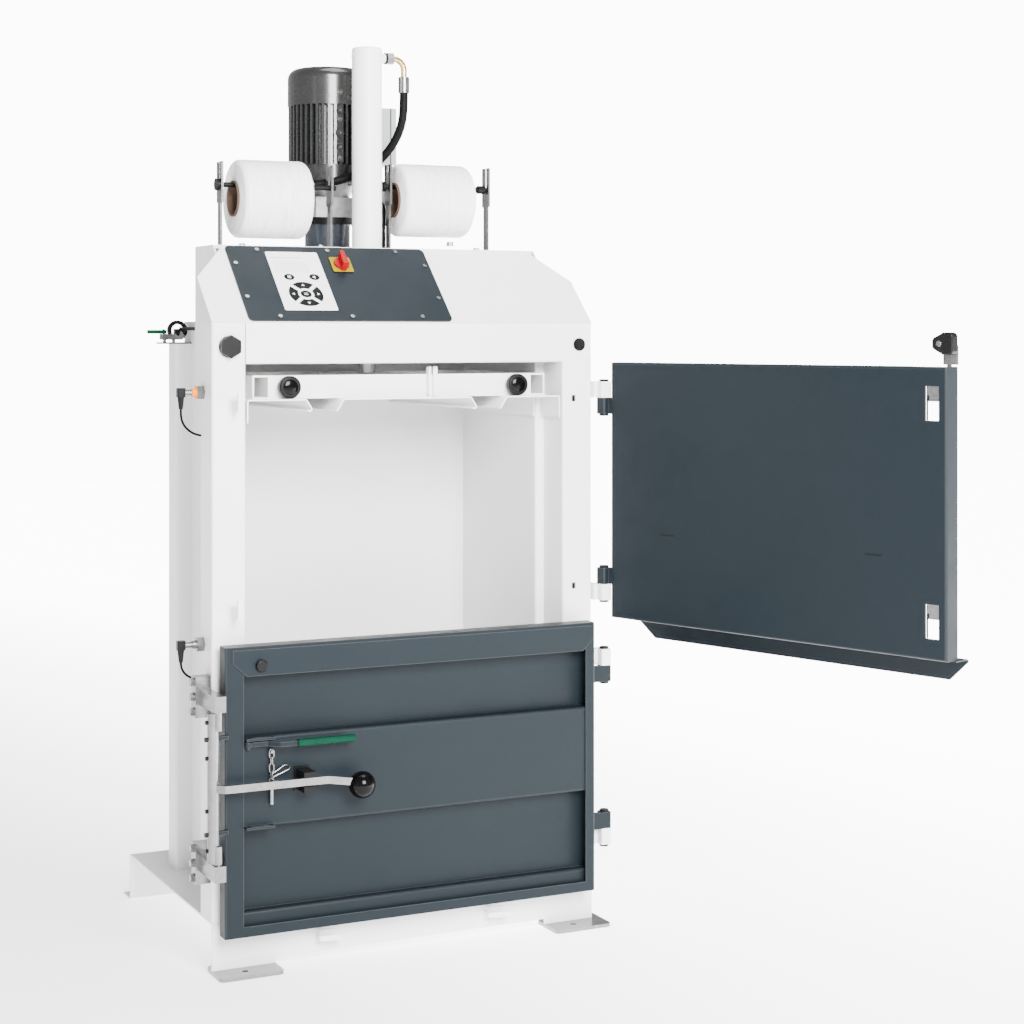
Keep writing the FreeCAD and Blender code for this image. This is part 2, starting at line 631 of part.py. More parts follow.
# ---- lower door ----
def lower_door():
    x0, x1 = LOWER_X
    z0, z1 = LOWER_Z
    outer = soften(box(x0, x1, DOOR_OUT, DOOR_IN, z0, z1), 4, upright)
    hollow = box(x0 + THIN, x1 - THIN, DOOR_OUT + THIN, DOOR_IN - THIN, z0 + THIN, z1 - THIN)
    window = box(x0 + BORDER_L, x1 - BORDER_R, DOOR_OUT - 1, DOOR_IN - THIN - 1,
                 z0 + BORDER_BOTTOM, z1 - BORDER_TOP)
    panel = cut(outer, hollow, window)
    low = z1 - BORDER_TOP
    flap = [
        (x0 + 17, z1 - 7), (x0 + 17, low + 26), (x0 + 48, low - 3), (x1 - 32, low - 3),
        (x1 - 4, low + 26), (x1 - 4, z1 - 7),
    ]
    flap = plate(flap, "xz", DOOR_OUT - THIN, THIN)
    ledge = folded(
        [(DOOR_IN - THIN, LEDGE_Z), (DOOR_OUT + 14, LEDGE_Z), (DOOR_OUT + 14, z0 + THIN)],
        THIN, "yz", x0 + THIN, x1 - x0 - 2 * THIN,
    )
    save("lower_door_panel", fuse(panel, flap, ledge))

    b0, b1 = BAND_Z
    band = folded(
        [(DOOR_IN - THIN, b1), (BAND_FRONT, b1), (BAND_FRONT, b0), (DOOR_IN - THIN, b0)],
        THIN, "yz", x0 + THIN, x1 - x0 - 2 * THIN,
    )
    shelves = []
    for z in (b1, b0 + SHELF_T):
        shelf = box(*SHELF_X, SHELF_Y, BAND_FRONT + 8, z - SHELF_T, z)
        slot = box(SHELF_X[0] + 14, SHELF_X[1] - 8, SHELF_Y + 4, SHELF_Y + 10, z - SHELF_T - 1, z + 1)
        shelves.append(cut(shelf, slot))
    px, py = GRIP_PIVOT
    pivot = rod(GRIP_PIN_R, (px, py, GRIP_Z - GRIP_H), (px, py, b1 - SHELF_T))
    save("centre_band", fuse(band, pivot, *shelves))

    button = rod(13, (x0 + 80, DOOR_OUT - THIN, 671), (x0 + 80, DOOR_OUT - THIN - 9, 671))
    save("door_bumper", soften(button, 3, lambda e: abs(e.BoundBox.YMin - (DOOR_OUT - THIN - 9)) < 1e-6
                               and e.BoundBox.YLength < 1e-6))

    jaw_y = (LEVER_Y - LEVER_T / 2 - 8, BAND_FRONT)
    mid, half = LEVER_Z, LEVER_H / 2
    clip_x = SHELF_X[0] + 130
    clip = fuse(
        box(clip_x - 18, clip_x + 18, BAND_FRONT - 4, BAND_FRONT, mid - half - 18, mid + half + 18),
        box(clip_x - 14, clip_x + 14, *jaw_y, mid + half + 2, mid + half + 14),
        box(clip_x - 14, clip_x + 14, *jaw_y, mid - half - 14, mid - half - 2),
    )
    save("lever_clip", clip)


def chain():
    """Links of a stadium shape hung one in the other, with a locking pin on the last."""
    wire_r, bow, straight, pitch = 1.6, 5.0, 9.0, 15.3
    x, y, top = SHELF_X[0] + 59, -64.0, 484.0
    links = []
    for i in range(5):
        z = top - i * pitch
        a = [V(x - bow, y, z), V(x, y, z + bow), V(x + bow, y, z)]
        b = [V(x + bow, y, z - straight), V(x, y, z - straight - bow), V(x - bow, y, z - straight)]
        path = Part.Wire([
            Part.Arc(*a).toShape(), Part.LineSegment(a[2], b[0]).toShape(),
            Part.Arc(*b).toShape(), Part.LineSegment(b[2], a[0]).toShape(),
        ])
        section = Part.Wire(Part.makeCircle(wire_r, a[0], V(0, 0, 1)))
        link = path.makePipeShell([section], True, True)
        if i % 2:
            link.rotate(V(x, y, z), V(0, 0, 1), 90)
        links.append(link)
    eye_z = top - 4 * pitch - straight - bow - GAP
    ring = tube(4.6, wire_r + 2 * GAP, (x - 1.5, y, eye_z), (x + 1.5, y, eye_z))
    pin = fuse(ring, rod(4, (x, y, eye_z - 4), (x, y, eye_z - 38)))
    hanger = rod(bow - wire_r - GAP, (x, BAND_FRONT, top), (x, y - 4, top))
    save("chain_and_pin", *links, pin, hanger)


def green_lever():
    px, py = GRIP_PIVOT
    half = GRIP_T / 2
    low = GRIP_Z - GRIP_H / 2
    bend = (px + 44, px + 68, px + 116)
    step = py - 24
    profile = [(px, py + half), (bend[0], py + half), (bend[1], step + half), (bend[2], step + half)]
    arm = folded(profile, -GRIP_T, "xy", low, GRIP_H, 6)
    boss = rod(GRIP_PIN_R + 2.5, (px, py, low), (px, py, low + GRIP_H))
    bore = rod(GRIP_PIN_R + FIT, (px, py, low - 1), (px, py, low + GRIP_H + 1))
    save("green_lever_arm", cut(fuse(arm, boss), bore))
    start, end = bend[2] - 12, bend[2] + 118
    sleeve = box(start, end, step - 9, step + 9, GRIP_Z - 8, GRIP_Z + 8)
    sleeve = soften(sleeve, 6.5, lambda e: e.BoundBox.XLength > 100)
    socket = box(start - 1, bend[2], step - half, step + half, low, low + GRIP_H)
    save("green_grip", cut(sleeve, socket))


# ---- lower door latch ----
def latch():
    top, low = ARM_Z[0] - ARM_H / 2, ARM_Z[1] + ARM_H / 2
    tube_low, tube_top = low + 4, top - 4
    shaft = rod(LATCH_TUBE_R, (TUBE_X, TUBE_Y, tube_low), (TUBE_X, TUBE_Y, tube_top))
    pins = [
        rod(LATCH_PIN_R, (LATCH_X, LATCH_Y, top - 40), (LATCH_X, LATCH_Y, ARM_Z[0] + ARM_H / 2)),
        rod(LATCH_PIN_R, (LATCH_X, LATCH_Y, ARM_Z[1] - ARM_H / 2), (LATCH_X, LATCH_Y, low + 40)),
    ]
    cams = []
    for z in CAM_Z:
        nose = [
            (TUBE_X - 4, TUBE_Y - 2), (TUBE_X + 34, TUBE_Y + 2), (TUBE_X + 38, DOOR_OUT - GAP - 0.5),
            (TUBE_X + 26, DOOR_OUT - GAP - 0.5), (TUBE_X + 4, TUBE_Y + 9),
        ]
        cams.append(plate(nose, "xy", z - CAM_T / 2, CAM_T))
        cams.append(rod(5, (TUBE_X, TUBE_Y, z), (TUBE_X - LATCH_TUBE_R - 6, TUBE_Y, z)))
    y = LEVER_Y + LEVER_T / 2
    half = LEVER_H / 2
    drop, end = BALL[0] - 76, BALL[0] + 1
    bar = folded(
        [(TUBE_X + 4, TUBE_Y), (TUBE_X + 22, y), (drop, y), (end, BALL[1])],
        -LEVER_T, "xy", BALL[2] - half, LEVER_Z - BALL[2] + LEVER_H, 6,
    )
    side = [
        (TUBE_X - 20, LEVER_Z + half), (drop, LEVER_Z + half), (end + 1, LEVER_Z - 11 + half),
        (end + 1, LEVER_Z - 11 - half), (drop - 1, LEVER_Z - half), (TUBE_X - 20, LEVER_Z - half),
    ]
    bar = bar.common(plate(side, "xz", 2 * LEVER_Y, -2 * LEVER_Y))
    ball_bite = Part.makeSphere(BALL_R, V(*BALL))
    save("latch_lever", fuse(shaft, *pins, *cams, cut(bar, ball_bite)))
    save("ball_knob", Part.makeSphere(BALL_R, V(*BALL)))


# ---- cylinder and press plate ----
def cylinder():
    low, high = CYL_Z
    barrel = tube(CYL_R, CYL_BORE, (0, CYL_Y, low + 24), (0, CYL_Y, high - 14))
    gland = tube(CYL_R + 4, ROD_R + FIT, (0, CYL_Y, low), (0, CYL_Y, low + 24))
    cap = rod(CYL_R, (0, CYL_Y, high - 14), (0, CYL_Y, CYL_CAP_TOP))
    cap = soften(cap, 5, lambda e: e.BoundBox.ZLength < 1e-6 and abs(e.BoundBox.ZMin - CYL_CAP_TOP) < 1e-6)
    collar = tube(CYL_R + 1.5, CYL_R - 1, (0, CYL_Y, high), (0, CYL_Y, high + 5))
    flange_top = HOOD_TOP - ROOF_T - GAP
    flange = tube(CYL_FLANGE_R, CYL_R - 1, (0, CYL_Y, flange_top - 14), (0, CYL_Y, flange_top))
    port = rod(11, (CYL_R - 4, CYL_Y, PORT_Z), (PORT_X, CYL_Y, PORT_Z))
    save("cylinder_tube", fuse(barrel, gland, cap, collar, flange, port))

    top = high - 14 - GAP - 10
    shaft = rod(ROD_R, (0, CYL_Y, PLATE_Z + BEAM_Z), (0, CYL_Y, top))
    piston = rod(CYL_BORE - FIT, (0, CYL_Y, top - PISTON_H), (0, CYL_Y, top))
    save("piston_rod", fuse(shaft, piston))


def hydraulics():
    bend = 26.0
    x0 = PORT_X
    ex = HOSE_X
    path = Part.Wire([
        Part.LineSegment(V(x0 + 14, CYL_Y, PORT_Z), V(ex - bend, CYL_Y, PORT_Z)).toShape(),
        Part.Arc(
            V(ex - bend, CYL_Y, PORT_Z),
            V(ex - bend + bend * math.sin(math.radians(45)), CYL_Y,
              PORT_Z - bend + bend * math.cos(math.radians(45))),
            V(ex, CYL_Y, PORT_Z - bend),
        ).toShape(),
        Part.LineSegment(V(ex, CYL_Y, PORT_Z - bend), V(ex, CYL_Y, HOSE_TOP + 36)).toShape(),
    ])
    section = Part.Wire(Part.makeCircle(7, V(x0 + 14, CYL_Y, PORT_Z), V(1, 0, 0)))
    pipe = path.makePipeShell([section], True, True)
    nut = hexagon(26, (x0, CYL_Y, PORT_Z), (x0 + 16, CYL_Y, PORT_Z))
    ferrule = rod(HOSE_R + 3, (ex, CYL_Y, HOSE_TOP), (ex, CYL_Y, HOSE_TOP + 38))
    save("port_elbow", fuse(nut, pipe, ferrule))
    save("hydraulic_hose", route(HOSE_ROUTE, HOSE_R, "hydraulic_hose"))


def hat(x0, x1, left, right, y0, y1):
    """One folded section of the press plate; left and right are leg or web profiles."""
    return folded(left(x0) + right(x1), -THIN, "xz", y0, y1 - y0)


def leg_left(x):
    return [(x, PLATE_Z - PLATE_LEG), (x, PLATE_Z)]


def leg_right(x):
    return [(x, PLATE_Z), (x, PLATE_Z - PLATE_LEG)]


def web_left(x):
    return [(x, PLATE_Z - 27), (x + 18, PLATE_Z)]


def web_right(x):
    return [(x - 18, PLATE_Z), (x + 9, PLATE_Z - 42), (x - 16, PLATE_Z - 26)]


def press():
    y0, y1 = PLATE_Y
    notch = POST_IN - 8
    grooves = ((-228.0, -176.0), (173.0, 227.0))
    sections = []
    for half, ya, yb in ((PLATE_HALF, y0, notch), (PLATE_REAR_HALF, notch, y1)):
        sections.append((
            hat(-half, grooves[0][0], leg_left, web_right, ya, yb),
            hat(grooves[0][1], grooves[1][0], web_left, web_right, ya, yb),
            hat(grooves[1][1], half, web_left, leg_right, ya, yb),
        ))
    save("press_plate", *[fuse(front, rear) for front, rear in zip(*sections)])

    z0, z1 = PLATE_Z, PLATE_Z + BEAM_Z
    wall = 4.0
    beams = []
    for y in (BEAM_Y, y1 - BEAM_D - 30):
        outer = box(-BEAM_HALF, BEAM_HALF, y, y + BEAM_D, z0, z1)
        inner = box(-BEAM_HALF - 1, BEAM_HALF + 1, y + wall, y + BEAM_D - wall, z0 + wall, z1 - wall)
        beams.append(cut(outer, inner))
    for side in (-1, 1):
        a, b = sorted((side * BEAM_HALF, side * (PLATE_REAR_HALF - 2)))
        outer = box(a, b, BEAM_Y, y1 - 30, z0, z1)
        inner = box(a + wall, b - wall, BEAM_Y - 1, y1 - 29, z0 + wall, z1 - wall)
        beams.append(cut(outer, inner))
    keel = box(-60, 60, BEAM_Y + BEAM_D, y1 - BEAM_D - 30, z0, z1)
    keel_way = box(-60 + wall, 60 - wall, BEAM_Y, y1, z0 + wall, z1 - 10)
    tag = box(57, 63, BEAM_Y - 14, BEAM_Y, z0 + 6, z1 + 17)
    fin = box(72, 82, BEAM_Y - 6, BEAM_Y, z0 + 2, z1 + 17)
    save("press_beams", fuse(beams[0], *beams[1:], cut(keel, keel_way), tag, fin))

    bumpers = []
    for x in (-BUMPER_X, BUMPER_X):
        z = z0 + BEAM_Z / 2
        body = rod(BUMPER_R, (x, BEAM_Y - 26, z), (x, BEAM_Y - 8, z))
        body = soften(body, 4, lambda e: e.BoundBox.YLength < 1e-6)
        bumpers.append(fuse(body, rod(14, (x, BEAM_Y - 8, z), (x, BEAM_Y, z))))
    save("press_bumpers", *bumpers)


# ---- strapping ----
def reels():
    stands = []
    slot = ROD_REEL_R + GAP
    for x, z in zip(STANDS, (ROD_Z[0], ROD_Z[0], ROD_Z[1], ROD_Z[1])):
        bar = box(x - STAND_T / 2, x + STAND_T / 2, REEL_Y - 10, REEL_Y + 10, HOOD_TOP, z - 38)
        fork = [
            (REEL_Y - 18, z - 42), (REEL_Y + 18, z - 42), (REEL_Y + 18, z + STAND_UP),
            (REEL_Y + slot, z + STAND_UP), (REEL_Y + slot, z), (REEL_Y - slot, z),
            (REEL_Y - slot, z + STAND_UP), (REEL_Y - 18, z + STAND_UP),
        ]
        head = plate(fork, "yz", x - STAND_T / 2, STAND_T)
        seat = rod(slot, (x - STAND_T, REEL_Y, z), (x + STAND_T, REEL_Y, z))
        foot = box(x - 14, x + 14, REEL_Y - 14, REEL_Y + 14, HOOD_TOP, HOOD_TOP + 4)
        stands.append(cut(fuse(bar, head, foot), seat))
    save("reel_stands", *stands)

    def along_x(r, a, b, z):
        return rod(r, (a, REEL_Y, z), (b, REEL_Y, z))

    z = ROD_Z[0]
    a, b = STANDS[0] - 3, STANDS[1] + 14
    left = fuse(along_x(ROD_REEL_R, a, b, z), along_x(14, a - 8, a, z))
    z = ROD_Z[1]
    a, b = STANDS[2] - 8, STANDS[3] + 8
    right = fuse(along_x(ROD_REEL_R, a, b, z), along_x(12, a - 8, a, z), along_x(10, b - 32, b - 14, z))
    save("reel_rods", left, right)

    for name, (a, b), z, r in zip(("left_reel", "right_reel"), (LEFT_REEL, RIGHT_REEL), REEL_Z, REEL_R):
        roll = soften(along_x(r, a, b, z), 10, lambda e: e.BoundBox.XLength < 1e-6)
        save(name, cut(roll, along_x(CORE_R, a - 1, b + 1, z)))
        save(f"{name}_core", cut(along_x(CORE_R, a - 4, b + 2, z), along_x(CORE_BORE, a - 5, b + 3, z)))


# ---- power pack ----
def return_line():
    """From the pump's right front corner forwards and down to the roof."""
    x, y, z, bend = RETURN_X, RETURN_Y, PUMP_Z[1] - 14, 24.0
    start = (MOTOR[0] + 46, MOTOR[1] - 40)
    turn = math.sin(math.radians(45)) * bend
    path = Part.Wire([
        Part.LineSegment(V(start[0], start[1], z), V(x - bend, start[1], z)).toShape(),
        Part.Arc(V(x - bend, start[1], z), V(x - bend + turn, start[1] - bend + turn, z),
                 V(x, start[1] - bend, z)).toShape(),
        Part.LineSegment(V(x, start[1] - bend, z), V(x, y + bend, z)).toShape(),
        Part.Arc(V(x, y + bend, z), V(x, y + bend - turn, z - bend + turn), V(x, y, z - bend)).toShape(),
        Part.LineSegment(V(x, y, z - bend), V(x, y, HOOD_TOP)).toShape(),
    ])
    section = Part.Wire(Part.makeCircle(RETURN_R, V(start[0], start[1], z), V(1, 0, 0)))
    pipe = path.makePipeShell([section], True, True)
    return pipe.fuse(rod(RETURN_R + 4, (x, y, HOOD_TOP), (x, y, HOOD_TOP + 8)))


def power_pack():
    mx, my = MOTOR
    tank = rod(55, (mx, my, HOOD_TOP), (mx, my, 1650))
    foot = box(mx - 80, mx + 80, my - 60, my + 60, HOOD_TOP, HOOD_TOP + 10)
    ring = rod(62, (mx, my, 1650), (mx, my, PUMP_Z[0]))
    save("oil_tank", fuse(tank, foot, ring))
    block = box(mx - 50, mx + 50, my - 50, my + 50, *PUMP_Z)
    bell = Part.makeCone(52, 78, MOTOR_Z[0] - PUMP_Z[1], V(mx, my, PUMP_Z[1]))
    end = V(*HOSE_END)
    seat = end + (end - V(*HOSE_ROUTE[-2])).normalize() * 20
    port = rod(HOSE_R + 2, HOSE_END, tuple(seat))
    low = PUMP_Z[0] + 8
    riser = box(seat.x - 22, seat.x, seat.y - 11, seat.y + 11, low, seat.z + 14)
    back = box(seat.x - 22, seat.x, seat.y - 11, my + 11, low, low + 24)
    across = box(seat.x - 22, mx - 48, my - 11, my + 11, low, low + 24)
    save("pump_block", fuse(soften(block, 5, upright), bell, port, riser, back, across, return_line()))

    shield = rod(MOTOR_R - 5, (mx, my, MOTOR_Z[0]), (mx, my, MOTOR_Z[1]))
    fins, count = [], 40
    for i in range(count):
        for r, k in ((MOTOR_R, -0.22), (MOTOR_R, 0.22), (MOTOR_R - 15, 0.28), (MOTOR_R - 15, 0.72)):
            t = 2 * math.pi * (i + k) / count
            fins.append((mx + r * math.cos(t), my + r * math.sin(t)))
    finned = plate(fins, "xy", MOTOR_Z[1], MOTOR_Z[2] - MOTOR_Z[1])
    save("motor_body", fuse(shield, finned))
    cover = rod(MOTOR_R + 2, (mx, my, MOTOR_Z[2]), (mx, my, MOTOR_Z[3]))
    cover = soften(cover, 26, lambda e: e.BoundBox.ZLength < 1e-6 and e.BoundBox.ZMin > MOTOR_Z[3] - 1)
    inside = rod(MOTOR_R - 1, (mx, my, MOTOR_Z[2] - 1), (mx, my, MOTOR_Z[3] - 30))
    save("fan_cover", cut(cover, inside))
    tx = mx + MOTOR_R - 2
    pad = box(tx - 20, tx + 6, my - 40, my + 40, 1815, 1925)
    save("terminal_box", fuse(box(tx + 4, tx + 68, my - 52, my + 52, 1800, 1938), pad.cut(
        rod(MOTOR_R + 0.1, (mx, my, MOTOR_Z[0]), (mx, my, MOTOR_Z[3])))))


# ---- sensors and strap clamp ----
def sensors():
    bodies, plugs = [], []
    x = -HALF
    for name, z, steps in zip(("upper", "lower"), SENSOR_Z, CABLE_STEPS):
        nut = hexagon(28, (x, SENSOR_Y, z), (x - 16, SENSOR_Y, z))
        ring = rod(SENSOR_R, (x - 16, SENSOR_Y, z), (x - 26, SENSOR_Y, z))
        neck = rod(SENSOR_R - 2.5, (x - 26, SENSOR_Y, z), (x - PLUG_OUT + 9, SENSOR_Y, z))
        bodies.append(fuse(nut, ring, neck))
        head = box(x - PLUG_OUT - 9, x - PLUG_OUT + 9, SENSOR_Y - 8, SENSOR_Y + 8, z - 10, z + 10)
        head = soften(head, 3, upright)
        tail = Part.makeCone(4.5, 7.5, 26, V(x - PLUG_OUT, SENSOR_Y, z - 36))
        plugs.append(fuse(head, tail))
        points = [(x + dx, SENSOR_Y + dy, z + dz) for dx, dy, dz in steps]
        save(name + "_sensor_cable", route(points, CABLE_R, name + "_sensor_cable"))
    save("door_sensors", *bodies)
    save("sensor_plugs", *plugs)


def strap_clamp():
    x, y = CLAMP
    seat = PILLAR_TOP + SHEET
    rest = box(x - 22, -WALL_HALF - SHEET, PILLAR_Y + 6, BACK_Y - SHEET, PILLAR_TOP, seat)
    body = box(x - 20, x + 22, y - 8, y + 8, seat + 6, seat + 20)
    legs = [rod(4, (x + dx, y, seat), (x + dx, y, seat + 6)) for dx in (-10, 12)]
    bar = box(x + 28, x + 38, POST_IN + 1, y + 8, seat + 28, seat + 36)
    riser = box(x + 14, x + 38, y - 8, y + 8, seat + 14, seat + 32)
    ring = tube(24, 15, (x + 21, y - 5, seat + 28), (x + 21, y + 5, seat + 28))
    hook = ring.common(box(x - 4, x + 45, y - 6, y + 6, seat + 6, seat + 60))
    top = seat + 20 + GAP
    pin = rod(3, (x - 12, y, seat + 18), (x - 12, y, top + 11))
    save("clamp_bracket", fuse(rest, body, *legs, bar, riser, hook, pin))
    handle = rounded([(x - 52, y - 8), (x - 6, y - 8), (x - 6, y + 8), (x - 52, y + 8)], 6, "xy", top, 9)
    save("clamp_handle", cut(handle, rod(3 + FIT, (x - 12, y, top - 1), (x - 12, y, top + 10))))


os.makedirs("parts", exist_ok=True)
base()
frame()
hood()
controls()
frame_fittings()
hinges()
upper_door()
lower_door()
chain()
green_lever()
latch()
cylinder()
hydraulics()
press()
reels()
power_pack()
sensors()
strap_clamp()
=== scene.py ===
"""Looks of the upright recycling baler: materials, small fittings, cords, camera and lights."""
import json
import math

import bmesh
import bpy
from mathutils import Matrix, Vector


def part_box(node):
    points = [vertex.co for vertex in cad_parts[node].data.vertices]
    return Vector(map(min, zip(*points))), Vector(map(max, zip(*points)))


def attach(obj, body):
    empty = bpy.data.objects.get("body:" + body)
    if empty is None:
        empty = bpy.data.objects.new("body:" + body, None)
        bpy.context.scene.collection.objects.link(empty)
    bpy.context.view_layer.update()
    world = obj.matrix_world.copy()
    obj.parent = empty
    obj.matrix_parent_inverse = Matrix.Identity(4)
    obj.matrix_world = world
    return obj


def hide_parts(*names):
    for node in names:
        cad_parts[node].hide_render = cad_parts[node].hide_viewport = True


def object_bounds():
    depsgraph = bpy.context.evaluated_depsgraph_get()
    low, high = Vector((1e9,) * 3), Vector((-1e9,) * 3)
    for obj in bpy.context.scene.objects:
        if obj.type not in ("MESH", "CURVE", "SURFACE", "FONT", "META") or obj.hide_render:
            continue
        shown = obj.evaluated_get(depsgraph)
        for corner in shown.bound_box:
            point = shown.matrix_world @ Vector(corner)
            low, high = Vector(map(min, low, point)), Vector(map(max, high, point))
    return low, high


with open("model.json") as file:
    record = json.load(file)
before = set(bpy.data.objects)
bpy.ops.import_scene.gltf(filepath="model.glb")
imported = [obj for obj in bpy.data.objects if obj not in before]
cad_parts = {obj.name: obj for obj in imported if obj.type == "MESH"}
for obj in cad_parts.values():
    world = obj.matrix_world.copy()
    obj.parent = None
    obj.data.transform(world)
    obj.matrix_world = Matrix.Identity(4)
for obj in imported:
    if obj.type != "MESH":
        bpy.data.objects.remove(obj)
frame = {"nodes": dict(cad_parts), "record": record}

CAD_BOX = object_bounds()
NODES = frame["nodes"]
MM = 0.001


# ---- camera ----
CAMERA_PLACE = (-1.811, -4.556, 1.384)
CAMERA_TURN = -26.06          # degrees about Z
CAMERA_LENS = 71.49
CAMERA_RISE = -0.174          # lens shift that keeps uprights parallel


def make_camera():
    data = bpy.data.cameras.new("camera")
    camera = bpy.data.objects.new("camera", data)
    bpy.context.scene.collection.objects.link(camera)
    camera.location = CAMERA_PLACE
    camera.rotation_euler = (math.pi / 2, 0, math.radians(CAMERA_TURN))
    data.sensor_width = 36
    data.lens = CAMERA_LENS
    data.shift_y = CAMERA_RISE
    data.dof.use_dof = False
    data.clip_end = 50
    bpy.context.scene.camera = camera


make_camera()


# ---- cords ----
# Metres, and the same routes as in the CAD source.
HOSE_D = 0.020
HOSE_ROUTE = [
    (0.095, -0.069, 1.960), (0.095, -0.069, 1.920), (0.091, -0.063, 1.880), (0.079, -0.049, 1.842),
    (0.058, -0.031, 1.808), (0.029, -0.013, 1.781), (-0.007, 0.001, 1.762), (-0.050, 0.010, 1.749),
    (-0.104, 0.016, 1.739),
]
CABLE_D = 0.0052
CABLES = {                     # side: seat on the post, length, and steps from the seat
    "upper": ((-0.465, -0.266, 1.256), 0.087, [
        (-0.050, 0, -0.036), (-0.050, 0, -0.049), (-0.0475, 0.0005, -0.062),
        (-0.041, 0.002, -0.0735), (-0.031, 0.0045, -0.083), (-0.019, 0.008, -0.090),
        (-0.0075, 0.011, -0.0935), (-0.001, 0.0127, -0.0948),
    ]),
    "lower": ((-0.465, -0.266, 0.706), 0.073, [
        (-0.050, 0, -0.036), (-0.0495, 0, -0.045), (-0.046, 0.0005, -0.055),
        (-0.039, 0.0015, -0.064), (-0.029, 0.0035, -0.071), (-0.0175, 0.006, -0.075),
        (-0.007, 0.0085, -0.0765), (-0.001, 0.010, -0.0768),
    ]),
}


def smooth_line(name, points, diameter):
    """A round cord on a NURBS line whose control points are its route's."""
    curve = bpy.data.curves.new(name, "CURVE")
    curve.dimensions = "3D"
    spline = curve.splines.new("NURBS")
    spline.points.add(len(points) - 1)
    for point, place in zip(spline.points, points):
        point.co = (*place, 1)
        point.radius = diameter / 2
    spline.order_u = 3
    spline.use_endpoint_u = True
    spline.resolution_u = 12
    curve.bevel_depth = 1.0
    curve.bevel_resolution = 8
    curve.use_fill_caps = True
    cord = bpy.data.objects.new(name, curve)
    bpy.context.scene.collection.objects.link(cord)
    return cord


def make_cords():
    hose = smooth_line("hose_line", HOSE_ROUTE, HOSE_D)
    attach(hose, "root")
    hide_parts("hydraulic_hose")
    cords = [hose]
    for side, (seat, length, steps) in CABLES.items():
        points = [tuple(a + b for a, b in zip(seat, step)) for step in steps]
        cable = smooth_line(side + "_cable_line", points, CABLE_D)
        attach(cable, "root")
        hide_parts(side + "_sensor_cable")
        cords.append(cable)
    return cords


CORDS = make_cords()


# ---- materials ----
class Finish:
    """A material whose node tree is built step by step in object coordinates."""

    def __init__(self, name, colour, rough, metal=0.0, **sockets):
        self.material = bpy.data.materials.new(name)
        self.material.use_nodes = True
        self.tree = self.material.node_tree
        self.shader = self.tree.nodes["Principled BSDF"]
        self.shader.inputs["Base Color"].default_value = (*colour, 1)
        self.shader.inputs["Roughness"].default_value = rough
        self.shader.inputs["Metallic"].default_value = metal
        for key, value in sockets.items():
            self.shader.inputs[key.replace("_", " ")].default_value = value
        self.place = self.node("ShaderNodeTexCoord").outputs["Object"]
        self.normal = None

    def node(self, kind, **settings):
        made = self.tree.nodes.new(kind)
        for key, value in settings.items():
            setattr(made, key, value)
        return made

    def link(self, start, end):
        self.tree.links.new(start, end)

    def scaled(self, stretch):
        """Coordinates stretched by a factor along each axis."""
        mapping = self.node("ShaderNodeMapping")
        mapping.inputs["Scale"].default_value = stretch
        self.link(self.place, mapping.inputs["Vector"])
        return mapping.outputs["Vector"]

    def noise(self, scale, detail, stretch=None):
        """Fractal noise from 0 to 1."""
        made = self.node("ShaderNodeTexNoise")
        made.inputs["Scale"].default_value = scale
        made.inputs["Detail"].default_value = detail
        self.link(self.scaled(stretch) if stretch else self.place, made.inputs["Vector"])
        return made.outputs["Fac"]

    def cells(self, scale):
        """A colour of its own per cell, as on spangled zinc."""
        made = self.node("ShaderNodeTexVoronoi")
        made.inputs["Scale"].default_value = scale
        self.link(self.place, made.inputs["Vector"])
        return made.outputs["Color"]

    def span(self, value, low, high, start=0.3, end=0.7):
        """Maps start..end of a value to low..high, clamped."""
        made = self.node("ShaderNodeMapRange")
        made.inputs["From Min"].default_value = start
        made.inputs["From Max"].default_value = end
        made.inputs["To Min"].default_value = low
        made.inputs["To Max"].default_value = high
        self.link(value, made.inputs["Value"])
        return made.outputs["Result"]

    def tones(self, value, *stops):
        """Colours at places along a value."""
        made = self.node("ShaderNodeValToRGB")
        elements = made.color_ramp.elements
        while len(elements) < len(stops):
            elements.new(0.5)
        for element, (place, colour) in zip(elements, stops):
            element.position = place
            element.color = (*colour, 1)
        self.link(value, made.inputs["Fac"])
        return made.outputs["Color"]

    def mix(self, share, first, second):
        """Blend of two colours; each is a socket or a plain colour."""
        made = self.node("ShaderNodeMix", data_type="RGBA")
        self.link(share, made.inputs["Factor"])
        for key, value in (("A", first), ("B", second)):
            socket = [s for s in made.inputs if s.name == key and s.type == "RGBA"][0]
            if isinstance(value, tuple):
                socket.default_value = (*value, 1)
            else:
                self.link(value, socket)
        return [s for s in made.outputs if s.type == "RGBA"][0]

    def colour(self, socket):
        self.link(socket, self.shader.inputs["Base Color"])

    def rough(self, socket):
        self.link(socket, self.shader.inputs["Roughness"])

    def bump(self, height, depth, strength):
        """Adds a relief of that depth in metres on top of the last one."""
        made = self.node("ShaderNodeBump")
        made.inputs["Distance"].default_value = depth
        made.inputs["Strength"].default_value = strength
        self.link(height, made.inputs["Height"])
        if self.normal:
            self.link(self.normal, made.inputs["Normal"])
        self.normal = made.outputs["Normal"]
        self.link(self.normal, self.shader.inputs["Normal"])

    def edges(self, radius):
        """0 on flat ground, rising to 1 within that radius of an edge."""
        bevel = self.node("ShaderNodeBevel", samples=4)
        bevel.inputs["Radius"].default_value = radius
        flat = self.node("ShaderNodeNewGeometry").outputs["Normal"]
        apart = self.node("ShaderNodeVectorMath", operation="DISTANCE")
        self.link(bevel.outputs["Normal"], apart.inputs[0])
        self.link(flat, apart.inputs[1])
        return self.span(apart.outputs["Value"], 0.0, 1.0, 0.02, 0.30)


def shade(colour, factor):
    """A colour made darker or lighter."""
    return tuple(min(1.0, c * factor) for c in colour)


